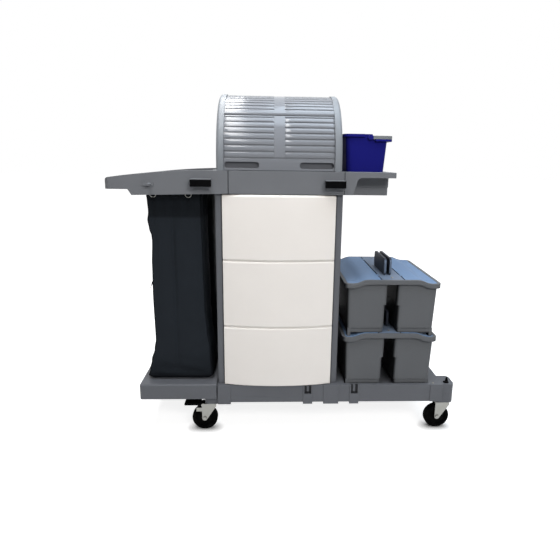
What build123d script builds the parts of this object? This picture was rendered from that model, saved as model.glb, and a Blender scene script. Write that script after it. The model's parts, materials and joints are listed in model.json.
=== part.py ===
"""Multifunction cleaning trolley: roll-top hood, three drawers, laundry bag, twin-bin mop boxes and bucket.

The frame has +Z up from the floor, the drawers facing -Y and the push handle at the -X end.
All sizes are in millimetres.
"""
from build123d import *
from math import cos, radians, sin
import os

os.makedirs("parts", exist_ok=True)

# Lengths along the trolley, from the push handle to the right corner
wing_length = 377.0         # push handle end to the cabinet's left face
cabinet_width = 454.0
bay_length = 412.0          # cabinet's right face to the end of the base
caster_offset = 34.0        # swivel axis beyond the end of the base
ear_radius = 20.0           # corner ear beyond the swivel axis

# Depths
body_depth = 560.0          # deck, base and tray, front to back
clip_reach = 34.0           # tool clips in front of the deck
panel_setback = 18.0        # cabinet panels behind the deck's front face

# Heights
wheel_diameter = 100.0
fork_clearance = 12.0       # wheel to the top of its fork
swivel_height = 18.0        # fork's top to the underside of a corner ear
skirt_rise = 15.0           # ear's underside to the base skirt's lower edge
base_height = 70.0
drawer_heights = (235.0, 250.0, 235.0)  # bottom, middle and top drawer
drawer_headroom = 1.0       # top drawer to the deck skirt
deck_skirt = 79.0

# Moulded walls and working clearances
wall = 4.0
seam = 1.0                  # open line between neighbouring mouldings
running = 0.08              # radial play of a pin in its hole
slip = 0.3                  # play of a loose or soft piece against its seat

# Frame positions that follow from the sizes above
ear_reach = caster_offset + ear_radius
left_end = -(wing_length + cabinet_width + bay_length + ear_reach) / 2
cabinet_left = left_end + wing_length
cabinet_right = cabinet_left + cabinet_width
cabinet_x = (cabinet_left + cabinet_right) / 2
base_left = cabinet_left
base_right = cabinet_right + bay_length
base_length = base_right - base_left
base_x = (base_left + base_right) / 2
front = (clip_reach - body_depth) / 2
back = front + body_depth
mid = (front + back) / 2
fork_top = wheel_diameter + fork_clearance
caster_height = fork_top + swivel_height
base_bottom = caster_height + skirt_rise
base_top = base_bottom + base_height
deck_bottom = base_top + sum(drawer_heights) + drawer_headroom
deck_top = deck_bottom + deck_skirt

# Casters
wheel_width = 28.0
wheel_trail = 26.0
caster_inset = 68.0         # swivel axis behind the base's front face
axle_radius = 5.0
kingpin_radius = 6.0
fork_plate = 2.5
fork_play = 2.0             # fork plate to the side of the wheel
fork_crown = 4.0
fork_half = 20.0
caster_points = {
    "front_left": (base_left - caster_offset, front + caster_inset),
    "rear_left": (base_left - caster_offset, back - caster_inset),
    "front_right": (base_right + caster_offset, front + caster_inset),
    "rear_right": (base_right + caster_offset, back - caster_inset),
}
braked = ("front_left", "rear_left")

# Mop boxes: two bins under an arched rim, with a bridge that carries the handle and two lids
box_left_gap = 16.0         # rim to the cabinet
box_right_gap = 34.0        # rim to the end of the base
box_overhang = 1.0          # rim before the base's front
box_rear_gap = 101.0        # rim to the base's back
box_pitch = 208.0           # foot plane to the crown of the lids, and so the stacking pitch
box_dip = 14.0              # fall of the rim from its crown to the corners
crown_half = 89.0           # flat middle of the arched rim
shoulder_half = 149.0       # where the fall ends
rim_band = 17.0
rim_bead = 12.0
rim_corner = 26.0
sheet = 3.0                 # lids and the flange under them
bin_wall = 2.5
bin_floor = 18.0            # bins above the foot plane
foot_rise = 1.0             # foot ring above the foot plane
leg_width = 12.0
leg_length = 28.0
bin_step = 108.0            # where the bins widen towards each other
bin_margin = 11.0           # rim's outer edge to a bin's mouth
bin_draft = 6.0             # how much a bin's outer walls draw in from mouth to floor
bin_gap = 36.0              # between the two bins above the step
bin_step_width = 6.0
bin_corner = 16.0
foot_inset = 2.0
bridge_half = 40.0
lid_gap = 4.5               # bridge's edge to a lid
lid_axis_gap = 3.0          # bridge edge to the lid hinge axis
lid_play = 1.2              # lid end to the rim bead, for its upward swing
lid_slot_length = 34.0
lid_slot_width = 4.0
lid_slot_margin = 22.0      # slot's middle from the lid's outer edge
lid_slot_end = 43.0         # slot from the lid's front and rear edges
lid_pin = 2.0
lid_knuckle = 3.6
knuckle_length = 28.0
lug_length = 6.0
hinge_spread = 150.0
handle_length = 185.0
handle_height = 64.0
handle_plate = 8.0
handle_spread = 20.0
handle_corner = 16.0
handle_left = 6.0           # handle plates left of the box's middle
handle_forward = 55.0       # handle plates before the box's middle
box_width = bay_length - box_left_gap - box_right_gap
box_depth = body_depth + box_overhang - box_rear_gap
box_x = cabinet_right + box_left_gap + box_width / 2
box_y = front - box_overhang + box_depth / 2
handle_x = box_x - handle_left
handle_y = box_y - handle_forward
recess_depth = 16.0
recess_play = 4.0           # box foot to the wall of its recess


def save(piece, name):
    """Label a finished piece and write it as its own file."""
    piece.part.label = name
    export_step(piece.part, f"parts/{name}.step")


# Base platform: a skirted pan on four ears, with ribs below and a recess for the boxes
base_corner = 10.0
ear_width = 80.0
ear_setback = 16.0          # ear's side behind the base's front face
ear_drop = 8.0              # top of an ear below the base's top
ear_root = 20.0             # ear's run back under the pan
rib = 4.0
rib_depth = 15.0
rib_rows = 2
rib_columns = 4
stem_depth = 35.0           # caster stem in the ear
arm_width = 30.0
arm_height = 20.0
arm_spread = 240.0
arm_root = 150.0            # tray arm's run under the base
pad_proud = 3.0
pad_lip = 7.0               # front pads reach below the skirt
latch_depth = 10.0
latch_slot = 26.0
latch_drop = 35.0
tongue_width = 8.0
corner_pad = 47.0           # raised block at the base's right front corner
ear_top = base_top - ear_drop
ear_spread = body_depth - 2 * ear_setback - ear_width
arm_top = base_top - wall
foot_half_x = box_width / 2 - bin_margin - bin_draft - foot_inset
foot_half_y = box_depth / 2 - bin_margin - bin_draft - foot_inset
recess_floor = base_top - recess_depth
recess_x = 2 * (foot_half_x + recess_play)
recess_y = 2 * (foot_half_y + recess_play)
front_pads = (              # place from the base's left end, width, and reach below the skirt
    (23.5, 49.0, pad_lip),
    (343.0, 36.0, pad_lip),
    (432.5, 59.0, pad_lip),
    (522.0, 36.0, pad_lip),
    (base_length - corner_pad / 2, corner_pad, 0.0),
)
latch_pads = (1, 3)

with BuildPart() as base_platform:
    with BuildSketch(Plane.XY.offset(base_bottom)):
        with Locations((base_x, mid)):
            RectangleRounded(base_length, body_depth, base_corner)
    extrude(amount=base_height)
    with BuildSketch(Plane.XY.offset(base_bottom)):
        with Locations((base_x, mid)):
            RectangleRounded(base_length - 2 * wall, body_depth - 2 * wall, base_corner - wall)
    extrude(amount=base_height - wall, mode=Mode.SUBTRACT)
    with Locations((base_x, mid, arm_top - rib_depth / 2)):
        with GridLocations(0, body_depth / (rib_rows + 1), 1, rib_rows):
            Box(base_length - wall, rib, rib_depth)
        with GridLocations(base_length / (rib_columns + 1), 0, rib_columns, 1):
            Box(rib, body_depth - wall, rib_depth)
    with Locations((box_x, box_y, recess_floor - wall)):
        Box(recess_x + 2 * wall, recess_y + 2 * wall, recess_depth + wall,
            align=(Align.CENTER, Align.CENTER, Align.MIN))
    with BuildSketch(Plane.XY.offset(recess_floor)):
        with Locations((box_x, box_y)):
            RectangleRounded(recess_x, recess_y, 2 * recess_play)
    extrude(amount=recess_depth, mode=Mode.SUBTRACT)
    with BuildSketch(Plane.XY.offset(caster_height)):
        with Locations((base_x, mid)):
            with GridLocations(base_length + ear_reach - ear_root, ear_spread, 2, 2):
                RectangleRounded(ear_reach + ear_root, ear_width, ear_radius - wall / 2)
    extrude(amount=ear_top - caster_height)
    with Locations(*[(x, y, caster_height) for x, y in caster_points.values()]):
        Cylinder(kingpin_radius + running, stem_depth, align=(Align.CENTER, Align.CENTER, Align.MIN),
                 mode=Mode.SUBTRACT)
    with Locations((base_left + arm_root / 2, mid, arm_top - arm_height / 2)):
        with GridLocations(0, arm_spread, 1, 2):
            Box(arm_root + 2 * slip, arm_width + 2 * slip, arm_height, mode=Mode.SUBTRACT)
    for number, (place, width, lip) in enumerate(front_pads):
        with Locations((base_left + place, front, base_top)):
            Box(width, 2 * pad_proud, base_height + lip, align=(Align.CENTER, Align.CENTER, Align.MAX))
        if number in latch_pads:
            with Locations((base_left + place, front - pad_proud, base_top)):
                Box(width, latch_depth + wall + pad_proud, latch_drop + 2 * wall,
                    align=(Align.CENTER, Align.MIN, Align.MAX))
                Box(latch_slot, latch_depth, latch_drop, align=(Align.CENTER, Align.MIN, Align.MAX),
                    mode=Mode.SUBTRACT)
            with Locations((base_left + place, front + pad_proud, base_top - wall)):
                Box(tongue_width, latch_depth, latch_drop, align=(Align.CENTER, Align.MIN, Align.MAX))
save(base_platform, "base_platform")

# Bag tray: a lipped plate that rides over the left ears on two steel arms
grip_length = 81.0          # push handle end to the tray's end
tray_skirt = 60.0
tray_seam = 6.0
tray_edge = 8.0
tray_left = left_end + grip_length
tray_right = base_left - tray_seam
tray_x = (tray_left + tray_right) / 2
tray_length = tray_right - tray_left
tray_top = base_top + wall
tray_rib_step = 80.0

with BuildPart() as bag_tray:
    with Locations((tray_x, mid, tray_top)):
        Box(tray_length, body_depth, tray_skirt, align=(Align.CENTER, Align.CENTER, Align.MAX))
    fillet(bag_tray.edges().filter_by(Axis.Z).group_by(Axis.X)[0], base_corner)
    fillet(bag_tray.faces().sort_by(Axis.Z)[-1].edges().sort_by(Axis.X)[:-1], tray_edge - wall / 2)
    with Locations((tray_right, mid, base_top)):
        Box(tray_length - wall, body_depth - 2 * wall, tray_skirt - wall,
            align=(Align.MAX, Align.CENTER, Align.MAX), mode=Mode.SUBTRACT)
    with Locations((tray_left + tray_rib_step, mid, base_top)):
        with GridLocations(tray_rib_step, 0, 2, 1):
            Box(rib, body_depth - wall, wall, align=(Align.CENTER, Align.CENTER, Align.MAX))
save(bag_tray, "bag_tray")

arm_edge = 2.0
arm_left = tray_left + wall + slip
with BuildPart() as tray_arms:
    with Locations(((arm_left + base_left + arm_root) / 2, mid, arm_top - arm_height / 2)):
        with GridLocations(0, arm_spread, 1, 2):
            Box(base_left + arm_root - arm_left, arm_width, arm_height)
    fillet(tray_arms.edges().filter_by(Axis.X), arm_edge)
save(tray_arms, "tray_arms")

# Cabinet panels: outer skins with stiffening bands where the drawer runners sit
panel = 24.0
panel_edge = 6.0
panel_margin = 25.0
pocket_corner = 12.0
pocket_low = 15.0
runner_drop = 43.0          # runner's top below the next drawer's floor line
runner_width = 12.0
runner_height = 20.0
runner_sheet = 3.0
panel_front = front + panel_setback
panel_back = back - panel_setback
panel_top = deck_top - wall
inner_left = cabinet_left + panel
inner_right = cabinet_right - panel
drawer_floors = [base_top + sum(drawer_heights[:i]) for i in range(len(drawer_heights))]
runner_tops = [floor + height - runner_drop for floor, height in zip(drawer_floors, drawer_heights)]

with BuildPart() as side_panel_left:
    with Locations((cabinet_left, mid, base_top)):
        Box(panel, panel_back - panel_front, panel_top - base_top, align=(Align.MIN, Align.CENTER, Align.MIN))
    fillet(side_panel_left.edges().filter_by(Axis.Z), panel_edge)
    with BuildSketch(Plane.YZ.offset(cabinet_left + wall)):
        for floor, runner_top in zip(drawer_floors, runner_tops):
            low = floor + pocket_low
            high = runner_top - runner_height - pocket_low
            with Locations((mid, (low + high) / 2)):
                RectangleRounded(panel_back - panel_front - 2 * panel_margin, high - low, pocket_corner)
    extrude(amount=panel, mode=Mode.SUBTRACT)
save(side_panel_left, "side_panel_left")

with BuildPart() as side_panel_right:
    mirror(side_panel_left.part, about=Plane.YZ.offset(cabinet_x))
save(side_panel_right, "side_panel_right")

back_sheet = 5.0
with BuildPart() as back_panel:
    with Locations((cabinet_x, panel_back - panel_edge - back_sheet, base_top)):
        Box(inner_right - inner_left, back_sheet, panel_top - base_top,
            align=(Align.CENTER, Align.MIN, Align.MIN))
save(back_panel, "back_panel")

runner_front = panel_front + 2 * panel_edge
runner_length = panel_back - panel_edge - back_sheet - runner_front
with BuildPart() as drawer_runners_left:
    with BuildSketch(Plane.XZ.offset(-runner_front)):
        for runner_top in runner_tops:
            with Locations((inner_left, runner_top)):
                Rectangle(runner_width, runner_sheet, align=(Align.MIN, Align.MAX))
                Rectangle(runner_sheet, runner_height, align=(Align.MIN, Align.MAX))
    extrude(amount=-runner_length)
save(drawer_runners_left, "drawer_runners_left")

with BuildPart() as drawer_runners_right:
    mirror(drawer_runners_left.part, about=Plane.YZ.offset(cabinet_x))
save(drawer_runners_right, "drawer_runners_right")

# Drawers: bowed fronts on open tubs whose rims ride on the runners
drawer_gap = 3.0
front_play = 2.0            # drawer front to a panel, each side
front_bow = 22.0
front_flange = 14.0         # front's thickness at its ends
front_proud = 10.0          # front's ends before the panels
front_wall = 3.5
front_top_edge = 8.0
front_low_edge = 4.0
tub_sheet = 2.5
tub_rim = 3.0
tub_floor_gap = 10.0        # tub's underside above a drawer's floor line
tub_corner = 14.0
tub_play = 1.5
tub_back_gap = 20.0
front_width = inner_right - inner_left - 2 * front_play
front_back_y = panel_front - front_proud + front_flange
tub_width = inner_right - inner_left - 2 * (runner_width + tub_play)
tub_length = runner_front + runner_length - tub_back_gap - front_back_y
tub_y = front_back_y + tub_length / 2


def front_plan(inset):
    """Plan of a drawer front: flat behind and bowed before, drawn in by an inset all round."""
    half = front_width / 2 - inset
    end_y = front_back_y - front_flange + inset
    with BuildSketch() as plan:
        with BuildLine():
            Polyline((cabinet_x - half, end_y), (cabinet_x - half, front_back_y),
                     (cabinet_x + half, front_back_y), (cabinet_x + half, end_y))
            ThreePointArc((cabinet_x + half, end_y), (cabinet_x, end_y - front_bow),
                          (cabinet_x - half, end_y))
        make_face()
    return plan.sketch


drawer_names = ("bottom", "middle", "top")
for name, floor, height, rim_level in zip(drawer_names, drawer_floors, drawer_heights, runner_tops):
    lower_edge = floor + drawer_gap / 2
    front_height = height - drawer_gap
    tub_bottom = floor + tub_floor_gap
    tub_height = rim_level + tub_rim - tub_bottom
    with BuildPart() as drawer_front:
        with BuildSketch(Plane.XY.offset(lower_edge)):
            add(front_plan(0))
        extrude(amount=front_height)
        fillet(drawer_front.faces().sort_by(Axis.Z)[-1].edges().sort_by(Axis.Y)[0], front_top_edge)
        fillet(drawer_front.faces().sort_by(Axis.Z)[0].edges().sort_by(Axis.Y)[0], front_low_edge)
        with BuildSketch(Plane.XY.offset(lower_edge + front_top_edge)):
            add(front_plan(front_wall))
        extrude(amount=front_height - 2 * front_top_edge, mode=Mode.SUBTRACT)
    save(drawer_front, f"drawer_front_{name}")

    with BuildPart() as drawer_tub:
        with BuildSketch(Plane.XY.offset(tub_bottom)):
            with Locations((cabinet_x, tub_y)):
                RectangleRounded(tub_width, tub_length, tub_corner)
        extrude(amount=tub_height)
        with BuildSketch(Plane.XY.offset(rim_level)):
            with Locations((cabinet_x, tub_y)):
                RectangleRounded(tub_width + 2 * runner_width, tub_length, tub_corner)
        extrude(amount=tub_rim)
        with BuildSketch(Plane.XY.offset(tub_bottom + tub_sheet)):
            with Locations((cabinet_x, tub_y)):
                RectangleRounded(tub_width - 2 * tub_sheet, tub_length - 2 * tub_sheet,
                                 tub_corner - tub_sheet)
        extrude(amount=tub_height, mode=Mode.SUBTRACT)
    save(drawer_tub, f"drawer_tub_{name}")

# Bag frame: a hollow rail round the bag's mouth, with the push handle at its end
deck_overlap = 49.0         # bag frame's run over the cabinet
wing_drop = 8.0             # apron's lower edge below the deck skirt at the handle
wing_fall = 29.0            # top of the handle below the deck
wing_crown = 8.0            # fall of the top edge at mid-length
grip_bottom = 12.0          # handle's lower edge above the deck skirt
grip_run = 13.0             # slope from the apron to the handle
grip_corner = 18.0
wing_corner = 24.0
seat_run = 20.0             # level run of the frame before the cabinet
hole_start = 33.0           # hand hole from the handle's end
hole_length = 37.0
hole_depth = 360.0
hole_corner = 12.0
mouth_start = 100.0
mouth_margin = 15.0         # bag mouth to the cabinet
rail_depth = 35.0
mouth_corner = 20.0
seam_left = cabinet_left + deck_overlap
seam_right = cabinet_right
mouth_left = left_end + mouth_start
mouth_right = cabinet_left - mouth_margin
mouth_depth = body_depth - 2 * rail_depth
cut_height = 3 * deck_skirt     # more than the bag frame's height


def wing_side(drop):
    """Side outline of the bag frame, lowered by a drop."""
    level = cabinet_left - seat_run
    high = deck_top - drop
    low = deck_bottom - drop
    end = seam_left - seam / 2
    apron_left = left_end + grip_length + grip_run
    with BuildSketch() as side:
        with BuildLine():
            ThreePointArc((left_end, high - wing_fall), ((left_end + level) / 2, high - wing_crown),
                          (level, high))
            Polyline((level, high), (end, high), (end, low), (apron_left, low - wing_drop),
                     (left_end + grip_length, low + grip_bottom), (left_end, low + grip_bottom),
                     (left_end, high - wing_fall))
        make_face()
        fillet(side.vertices().sort_by(Axis.X)[:2].sort_by(Axis.Y)[-1], grip_corner)
    return side.sketch


def frame_plan(inset):
    """Plan of the bag frame's outer wall, drawn in by an inset, running on past the seam."""
    with BuildSketch() as plan:
        with Locations((left_end + inset, mid)):
            RectangleRounded(2 * (seam_left - left_end), body_depth - 2 * inset, wing_corner - inset,
                             align=(Align.MIN, Align.CENTER))
    return plan.sketch


def frame_mouths(grow):
    """The hand hole and the bag's mouth in plan, grown by a wall."""
    with BuildSketch() as mouths:
        with Locations((left_end + hole_start + hole_length / 2, mid)):
            RectangleRounded(hole_length + 2 * grow, hole_depth + 2 * grow, hole_corner)
        with Locations(((mouth_left + mouth_right) / 2, mid)):
            RectangleRounded(mouth_right - mouth_left + 2 * grow, mouth_depth + 2 * grow, mouth_corner)
    return mouths.sketch


with BuildPart() as frame_hollow:
    with BuildSketch(Plane.XZ.offset(-mid)):
        add(wing_side(wall))
        with Locations((seam_left, deck_bottom)):
            Rectangle(2 * seam, deck_skirt - wall, align=(Align.CENTER, Align.MIN))
    extrude(amount=body_depth / 2 - wall, both=True)
    with BuildSketch(Plane.XY.offset(deck_bottom - deck_skirt)):
        add(frame_plan(wall))
    extrude(amount=cut_height, mode=Mode.INTERSECT)
    with BuildSketch(Plane.XY.offset(deck_bottom - deck_skirt)):
        add(frame_mouths(wall))
    extrude(amount=cut_height, mode=Mode.SUBTRACT)

with BuildPart() as bag_frame:
    with BuildSketch(Plane.XZ.offset(-mid)):
        add(wing_side(0))
    extrude(amount=body_depth / 2, both=True)
    with BuildSketch(Plane.XY.offset(deck_bottom - deck_skirt)):
        add(frame_plan(0))
    extrude(amount=cut_height, mode=Mode.INTERSECT)
    add(frame_hollow.part, mode=Mode.SUBTRACT)
    with BuildSketch(Plane.XY.offset(deck_bottom - deck_skirt)):
        add(frame_mouths(0))
    extrude(amount=cut_height, mode=Mode.SUBTRACT)
save(bag_frame, "bag_frame")

# Centre deck: skirted plate with a shallow store tray under the hood
store_margin_x = 20.0
store_margin_y = 55.0
store_depth = 40.0
store_corner = 18.0
store_left = seam_left + store_margin_x
store_right = inner_right - store_margin_x
store_x = (store_left + store_right) / 2
store_width = store_right - store_left
store_length = body_depth - 2 * store_margin_y
deck_x = (seam_left + seam_right) / 2
deck_width = seam_right - seam_left - seam

with BuildPart() as centre_deck:
    with Locations((deck_x, mid, deck_top)):
        Box(deck_width, body_depth, deck_skirt, align=(Align.CENTER, Align.CENTER, Align.MAX))
    with Locations((deck_x, mid, deck_top - wall)):
        Box(deck_width, body_depth - 2 * wall, deck_skirt, align=(Align.CENTER, Align.CENTER, Align.MAX),
            mode=Mode.SUBTRACT)
    with BuildSketch(Plane.XY.offset(deck_top)):
        with Locations((store_x, mid)):
            RectangleRounded(store_width + 2 * wall, store_length + 2 * wall, store_corner + wall)
    extrude(amount=-store_depth - wall)
    with BuildSketch(Plane.XY.offset(deck_top)):
        with Locations((store_x, mid)):
            RectangleRounded(store_width, store_length, store_corner)
    extrude(amount=-store_depth, mode=Mode.SUBTRACT)
save(centre_deck, "centre_deck")

# Right deck: a lipped shelf with a moulded well for two buckets
foot_run = 31.0             # deck skirt's full depth beside the cabinet
curve_run = 19.0
curve_radius = 16.0
lip_height = 19.0
deck_corner = 8.0
well_start = 9.0            # cabinet's face to the well
well_width = 167.0
well_end = 7.0              # well to the deck's end
well_length = 400.0
well_drop = 5.0             # well's underside below the deck skirt
well_step = 29.0            # drawn-in foot of the well
well_step_width = 2.0
well_wall = 3.5
well_corner = 14.0
divider_height = 20.0
deck_right = cabinet_right + well_start + well_width + well_end
well_x = cabinet_right + well_start + well_width / 2
well_bottom = deck_bottom - well_drop
well_floor = well_bottom + well_wall


def right_side(drop):
    """Side outline of the right deck, lowered by a drop."""
    start = seam_right + seam / 2
    foot = seam_right + foot_run
    with BuildSketch() as side:
        with BuildLine():
            Polyline((start, deck_bottom - drop), (foot, deck_bottom - drop),
                     (foot + curve_run, deck_top - lip_height - drop),
                     (deck_right, deck_top - lip_height - drop), (deck_right, deck_top - drop),
                     (start, deck_top - drop), close=True)
        make_face()
        fillet(side.vertices().sort_by(Axis.X)[3], curve_radius)
    return side.sketch


def well_plan(inset):
    """Plan of the bucket well, drawn in by an inset."""
    with BuildSketch() as plan:
        with Locations((well_x, mid)):
            RectangleRounded(well_width - 2 * inset, well_length - 2 * inset, well_corner - inset)
    return plan.sketch


with BuildPart() as right_deck:
    with BuildSketch(Plane.XZ.offset(-mid)):
        add(right_side(0))
    extrude(amount=body_depth / 2, both=True)
    fillet(right_deck.edges().filter_by(Axis.Z).group_by(Axis.X)[-1], deck_corner)
    with BuildSketch(Plane.XZ.offset(-mid)):
        add(right_side(wall))
        with Locations((deck_right, deck_top)):
            Rectangle(wall, deck_skirt, align=(Align.MAX, Align.MAX), mode=Mode.SUBTRACT)
        with Locations((seam_right + seam / 2, deck_bottom - wall)):
            Rectangle(seam, deck_skirt, align=(Align.MAX, Align.MIN))
    extrude(amount=body_depth / 2 - wall, both=True, mode=Mode.SUBTRACT)
    with BuildSketch(Plane.XY.offset(well_bottom)):
        add(well_plan(well_step_width))
    extrude(amount=well_step)
    with BuildSketch(Plane.XY.offset(well_bottom + well_step)):
        add(well_plan(0))
    extrude(amount=deck_top - well_bottom - well_step)
    with BuildSketch(Plane.XY.offset(well_floor)):
        add(well_plan(well_step_width + well_wall))
    extrude(amount=deck_top - well_floor, mode=Mode.SUBTRACT)
    with Locations((well_x, mid, well_floor)):
        Box(well_width - 2 * well_wall, wall, divider_height, align=(Align.CENTER, Align.CENTER, Align.MIN))
save(right_deck, "right_deck")

# Roll-top hood: rimmed cheeks, a grooved rear shell and a grooved cover that rolls up inside it
hood_side_gap = 5.5         # hood within the cabinet's width, each side
hood_end_gap = 25.0         # hood behind the deck's front face
hood_leg = 25.0             # straight leg under the half circle
cheek_sheet = 3.0
cheek_rim = 26.0
cheek_shoulder = 12.0       # rounding of the cheeks' outer edges
cheek_hollow_edge = 4.5     # bevel of their hollow, clear of the cover's swing
shell_gap = 0.3             # rear shell under the cheek rims
shell_sheet = 3.8
cover_gap = 1.5             # cover under the rear shell, for its straight lower edge
cover_sheet = 4.9
cover_lift = 1.5            # cover's lower edge above the deck
cover_angle = 47.1          # seam between cover and rear shell, above the horizontal
shell_lap = 3.0             # rear shell's run over the cover
groove_first = 4.25         # lowest groove, above the horizontal
cover_groove_pitch = 5.17
cover_groove_count = 8
shell_groove_pitch = 4.7
shell_groove_count = 27
groove_width = 5.0
groove_depth = 2.2
groove_margin = 27.0        # grooves start beside the cheek rims
centre_strip = 38.0
slot_length = 121.0
slot_height = 22.0
slot_level = 19.0           # finger slot's middle above the deck
slot_margin = 29.0
scoop_wall = 2.5
scoop_depth = 10.0
arm_sheet = 3.0
arm_play = 1.0
hub_radius = 16.0
pin_radius = 6.0
pin_head = 10.0
pin_head_height = 3.0
hood_width = cabinet_width - 2 * hood_side_gap
hood_radius = body_depth / 2 - hood_end_gap
axis_z = deck_top + hood_leg
hood_left = cabinet_x - hood_width / 2
cheek_inner = hood_radius - cheek_sheet
shell_outer = cheek_inner - shell_gap
shell_inner = shell_outer - shell_sheet
cover_outer = shell_inner - cover_gap
cover_inner = cover_outer - cover_sheet
arm_x = hood_left + cheek_sheet + arm_play
shell_width = hood_width - 2 * (cheek_shoulder + shell_gap)
cover_width = 2 * (cabinet_x - arm_x)
slot_spread = hood_width / 2 - slot_margin - slot_length / 2
slot_places = [(cabinet_x + side * slot_spread, deck_top + slot_level) for side in (-1, 1)]
far = 3 * hood_radius


def hood_side(radius):
    """Side outline of the hood at one radius: a half circle on two straight legs."""
    with BuildSketch() as outline:
        with Locations((mid, axis_z)):
            Circle(radius)
        with Locations((mid, axis_z)):
            Rectangle(2 * far, far, align=(Align.CENTER, Align.MAX), mode=Mode.SUBTRACT)
            Rectangle(2 * radius, hood_leg, align=(Align.CENTER, Align.MAX))
    return outline.sketch


def front_wedge(angle):
    """The region before the hood's axis and below an angle above the horizontal."""
    edge = radians(angle)
    with BuildSketch() as wedge:
        with BuildLine():
            Polyline((mid, axis_z), (mid - far * cos(edge), axis_z + far * sin(edge)),
                     (mid - far, axis_z - far), (mid, axis_z - far), close=True)
        make_face()
    return wedge.sketch


def groove_place(x, radius, angle):
    """A place on the hood at one radius and angle, turned to lie along its surface."""
    turn = radians(angle)
    return Location((x, mid - radius * cos(turn), axis_z + radius * sin(turn)), (-angle, 0, 0))


groove_run = hood_width / 2 - groove_margin - centre_strip / 2
groove_columns = [cabinet_x + side * (centre_strip + groove_run) / 2 for side in (-1, 1)]
shell_angle = cover_angle - shell_lap
cover_grooves = [groove_first + cover_groove_pitch * i for i in range(1, cover_groove_count)]
shell_grooves = [shell_angle + shell_groove_pitch * (i + 1) for i in range(shell_groove_count)]

with BuildPart() as cheek_hollow:
    with BuildSketch(Plane.YZ.offset(hood_left + cheek_sheet)):
        add(hood_side(cheek_inner))
    extrude(amount=cheek_rim)
    chamfer(cheek_hollow.faces().sort_by(Axis.X)[0].edges().sort_by(Axis.Z)[1:],
            cheek_hollow_edge)

with BuildPart() as hood_cheek_left:
    with BuildSketch(Plane.YZ.offset(hood_left)):
        add(hood_side(hood_radius))
    extrude(amount=cheek_rim)
    fillet(hood_cheek_left.faces().sort_by(Axis.X)[0].edges().sort_by(Axis.Z)[1:], cheek_shoulder)
    add(cheek_hollow.part, mode=Mode.SUBTRACT)
    with BuildSketch(Plane.YZ.offset(hood_left)):
        with Locations((mid, axis_z)):
            Circle(pin_radius + running)
    extrude(amount=cheek_sheet, mode=Mode.SUBTRACT)
save(hood_cheek_left, "hood_cheek_left")

with BuildPart() as hood_cheek_right:
    mirror(hood_cheek_left.part, about=Plane.YZ.offset(cabinet_x))
save(hood_cheek_right, "hood_cheek_right")

with BuildPart() as hood_rear_shell:
    with BuildSketch(Plane.YZ.offset(cabinet_x)):
        add(hood_side(shell_outer))
        add(hood_side(shell_inner), mode=Mode.SUBTRACT)
        add(front_wedge(shell_angle), mode=Mode.SUBTRACT)
    extrude(amount=shell_width / 2, both=True)
    with Locations(*[groove_place(x, shell_outer, angle) for angle in shell_grooves for x in groove_columns]):
        Box(groove_run, 2 * groove_depth, groove_width, mode=Mode.SUBTRACT)
save(hood_rear_shell, "hood_rear_shell")

with BuildPart() as hood_cover:
    with BuildSketch(Plane.YZ.offset(cabinet_x)):
        add(hood_side(cover_outer))
        add(hood_side(cover_inner), mode=Mode.SUBTRACT)
        add(front_wedge(cover_angle), mode=Mode.INTERSECT)
    extrude(amount=cover_width / 2, both=True)
    with BuildSketch(Plane.XZ.offset(cover_outer - mid)):
        with Locations(*slot_places):
            SlotOverall(slot_length, slot_height)
    extrude(amount=-2 * cover_sheet, mode=Mode.SUBTRACT)
    with Locations(*[groove_place(x, cover_outer, angle) for angle in cover_grooves for x in groove_columns]):
        Box(groove_run, 2 * groove_depth, groove_width, mode=Mode.SUBTRACT)
    with Locations(groove_place(cabinet_x, cover_outer, groove_first)):
        Box(hood_width - 2 * groove_margin, 2 * groove_depth, groove_width, mode=Mode.SUBTRACT)
    with BuildSketch(Plane.YZ.offset(arm_x)):
        add(hood_side(cover_inner))
        add(front_wedge(cover_angle), mode=Mode.INTERSECT)
        with Locations((mid, axis_z)):
            Circle(hub_radius)
            Circle(pin_radius + running, mode=Mode.SUBTRACT)
    extrude(amount=arm_sheet)
    mirror(about=Plane.YZ.offset(cabinet_x))
    with Locations((cabinet_x, mid, deck_top)):
        Box(hood_width, 2 * hood_radius, cover_lift, align=(Align.CENTER, Align.CENTER, Align.MIN),
            mode=Mode.SUBTRACT)
save(hood_cover, "hood_cover")

cup_plane = Plane.XZ.offset(cover_inner - mid)
with BuildPart() as hood_grip_cups:
    with BuildSketch(cup_plane):
        with Locations(*slot_places):
            SlotOverall(slot_length + 2 * scoop_wall, slot_height + 2 * scoop_wall)
    extrude(amount=-scoop_depth)
    with BuildSketch(cup_plane):
        with Locations(*slot_places):
            SlotOverall(slot_length, slot_height)
    extrude(amount=scoop_wall - scoop_depth, mode=Mode.SUBTRACT)
    with BuildSketch(Plane.YZ.offset(cabinet_x)):
        add(hood_side(cover_inner))
    extrude(amount=cover_width / 2, both=True, mode=Mode.INTERSECT)
save(hood_grip_cups, "hood_grip_cups")

with BuildPart() as hood_pivot_pins:
    with BuildSketch(Plane.YZ.offset(hood_left)):
        with Locations((mid, axis_z)):
            Circle(pin_radius)
    extrude(amount=cheek_sheet + 2 * arm_play + arm_sheet + pin_head_height)
    with BuildSketch(Plane.YZ.offset(arm_x + arm_sheet + arm_play)):
        with Locations((mid, axis_z)):
            Circle(pin_head)
    extrude(amount=pin_head_height)
    mirror(about=Plane.YZ.offset(cabinet_x))
save(hood_pivot_pins, "hood_pivot_pins")

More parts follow.
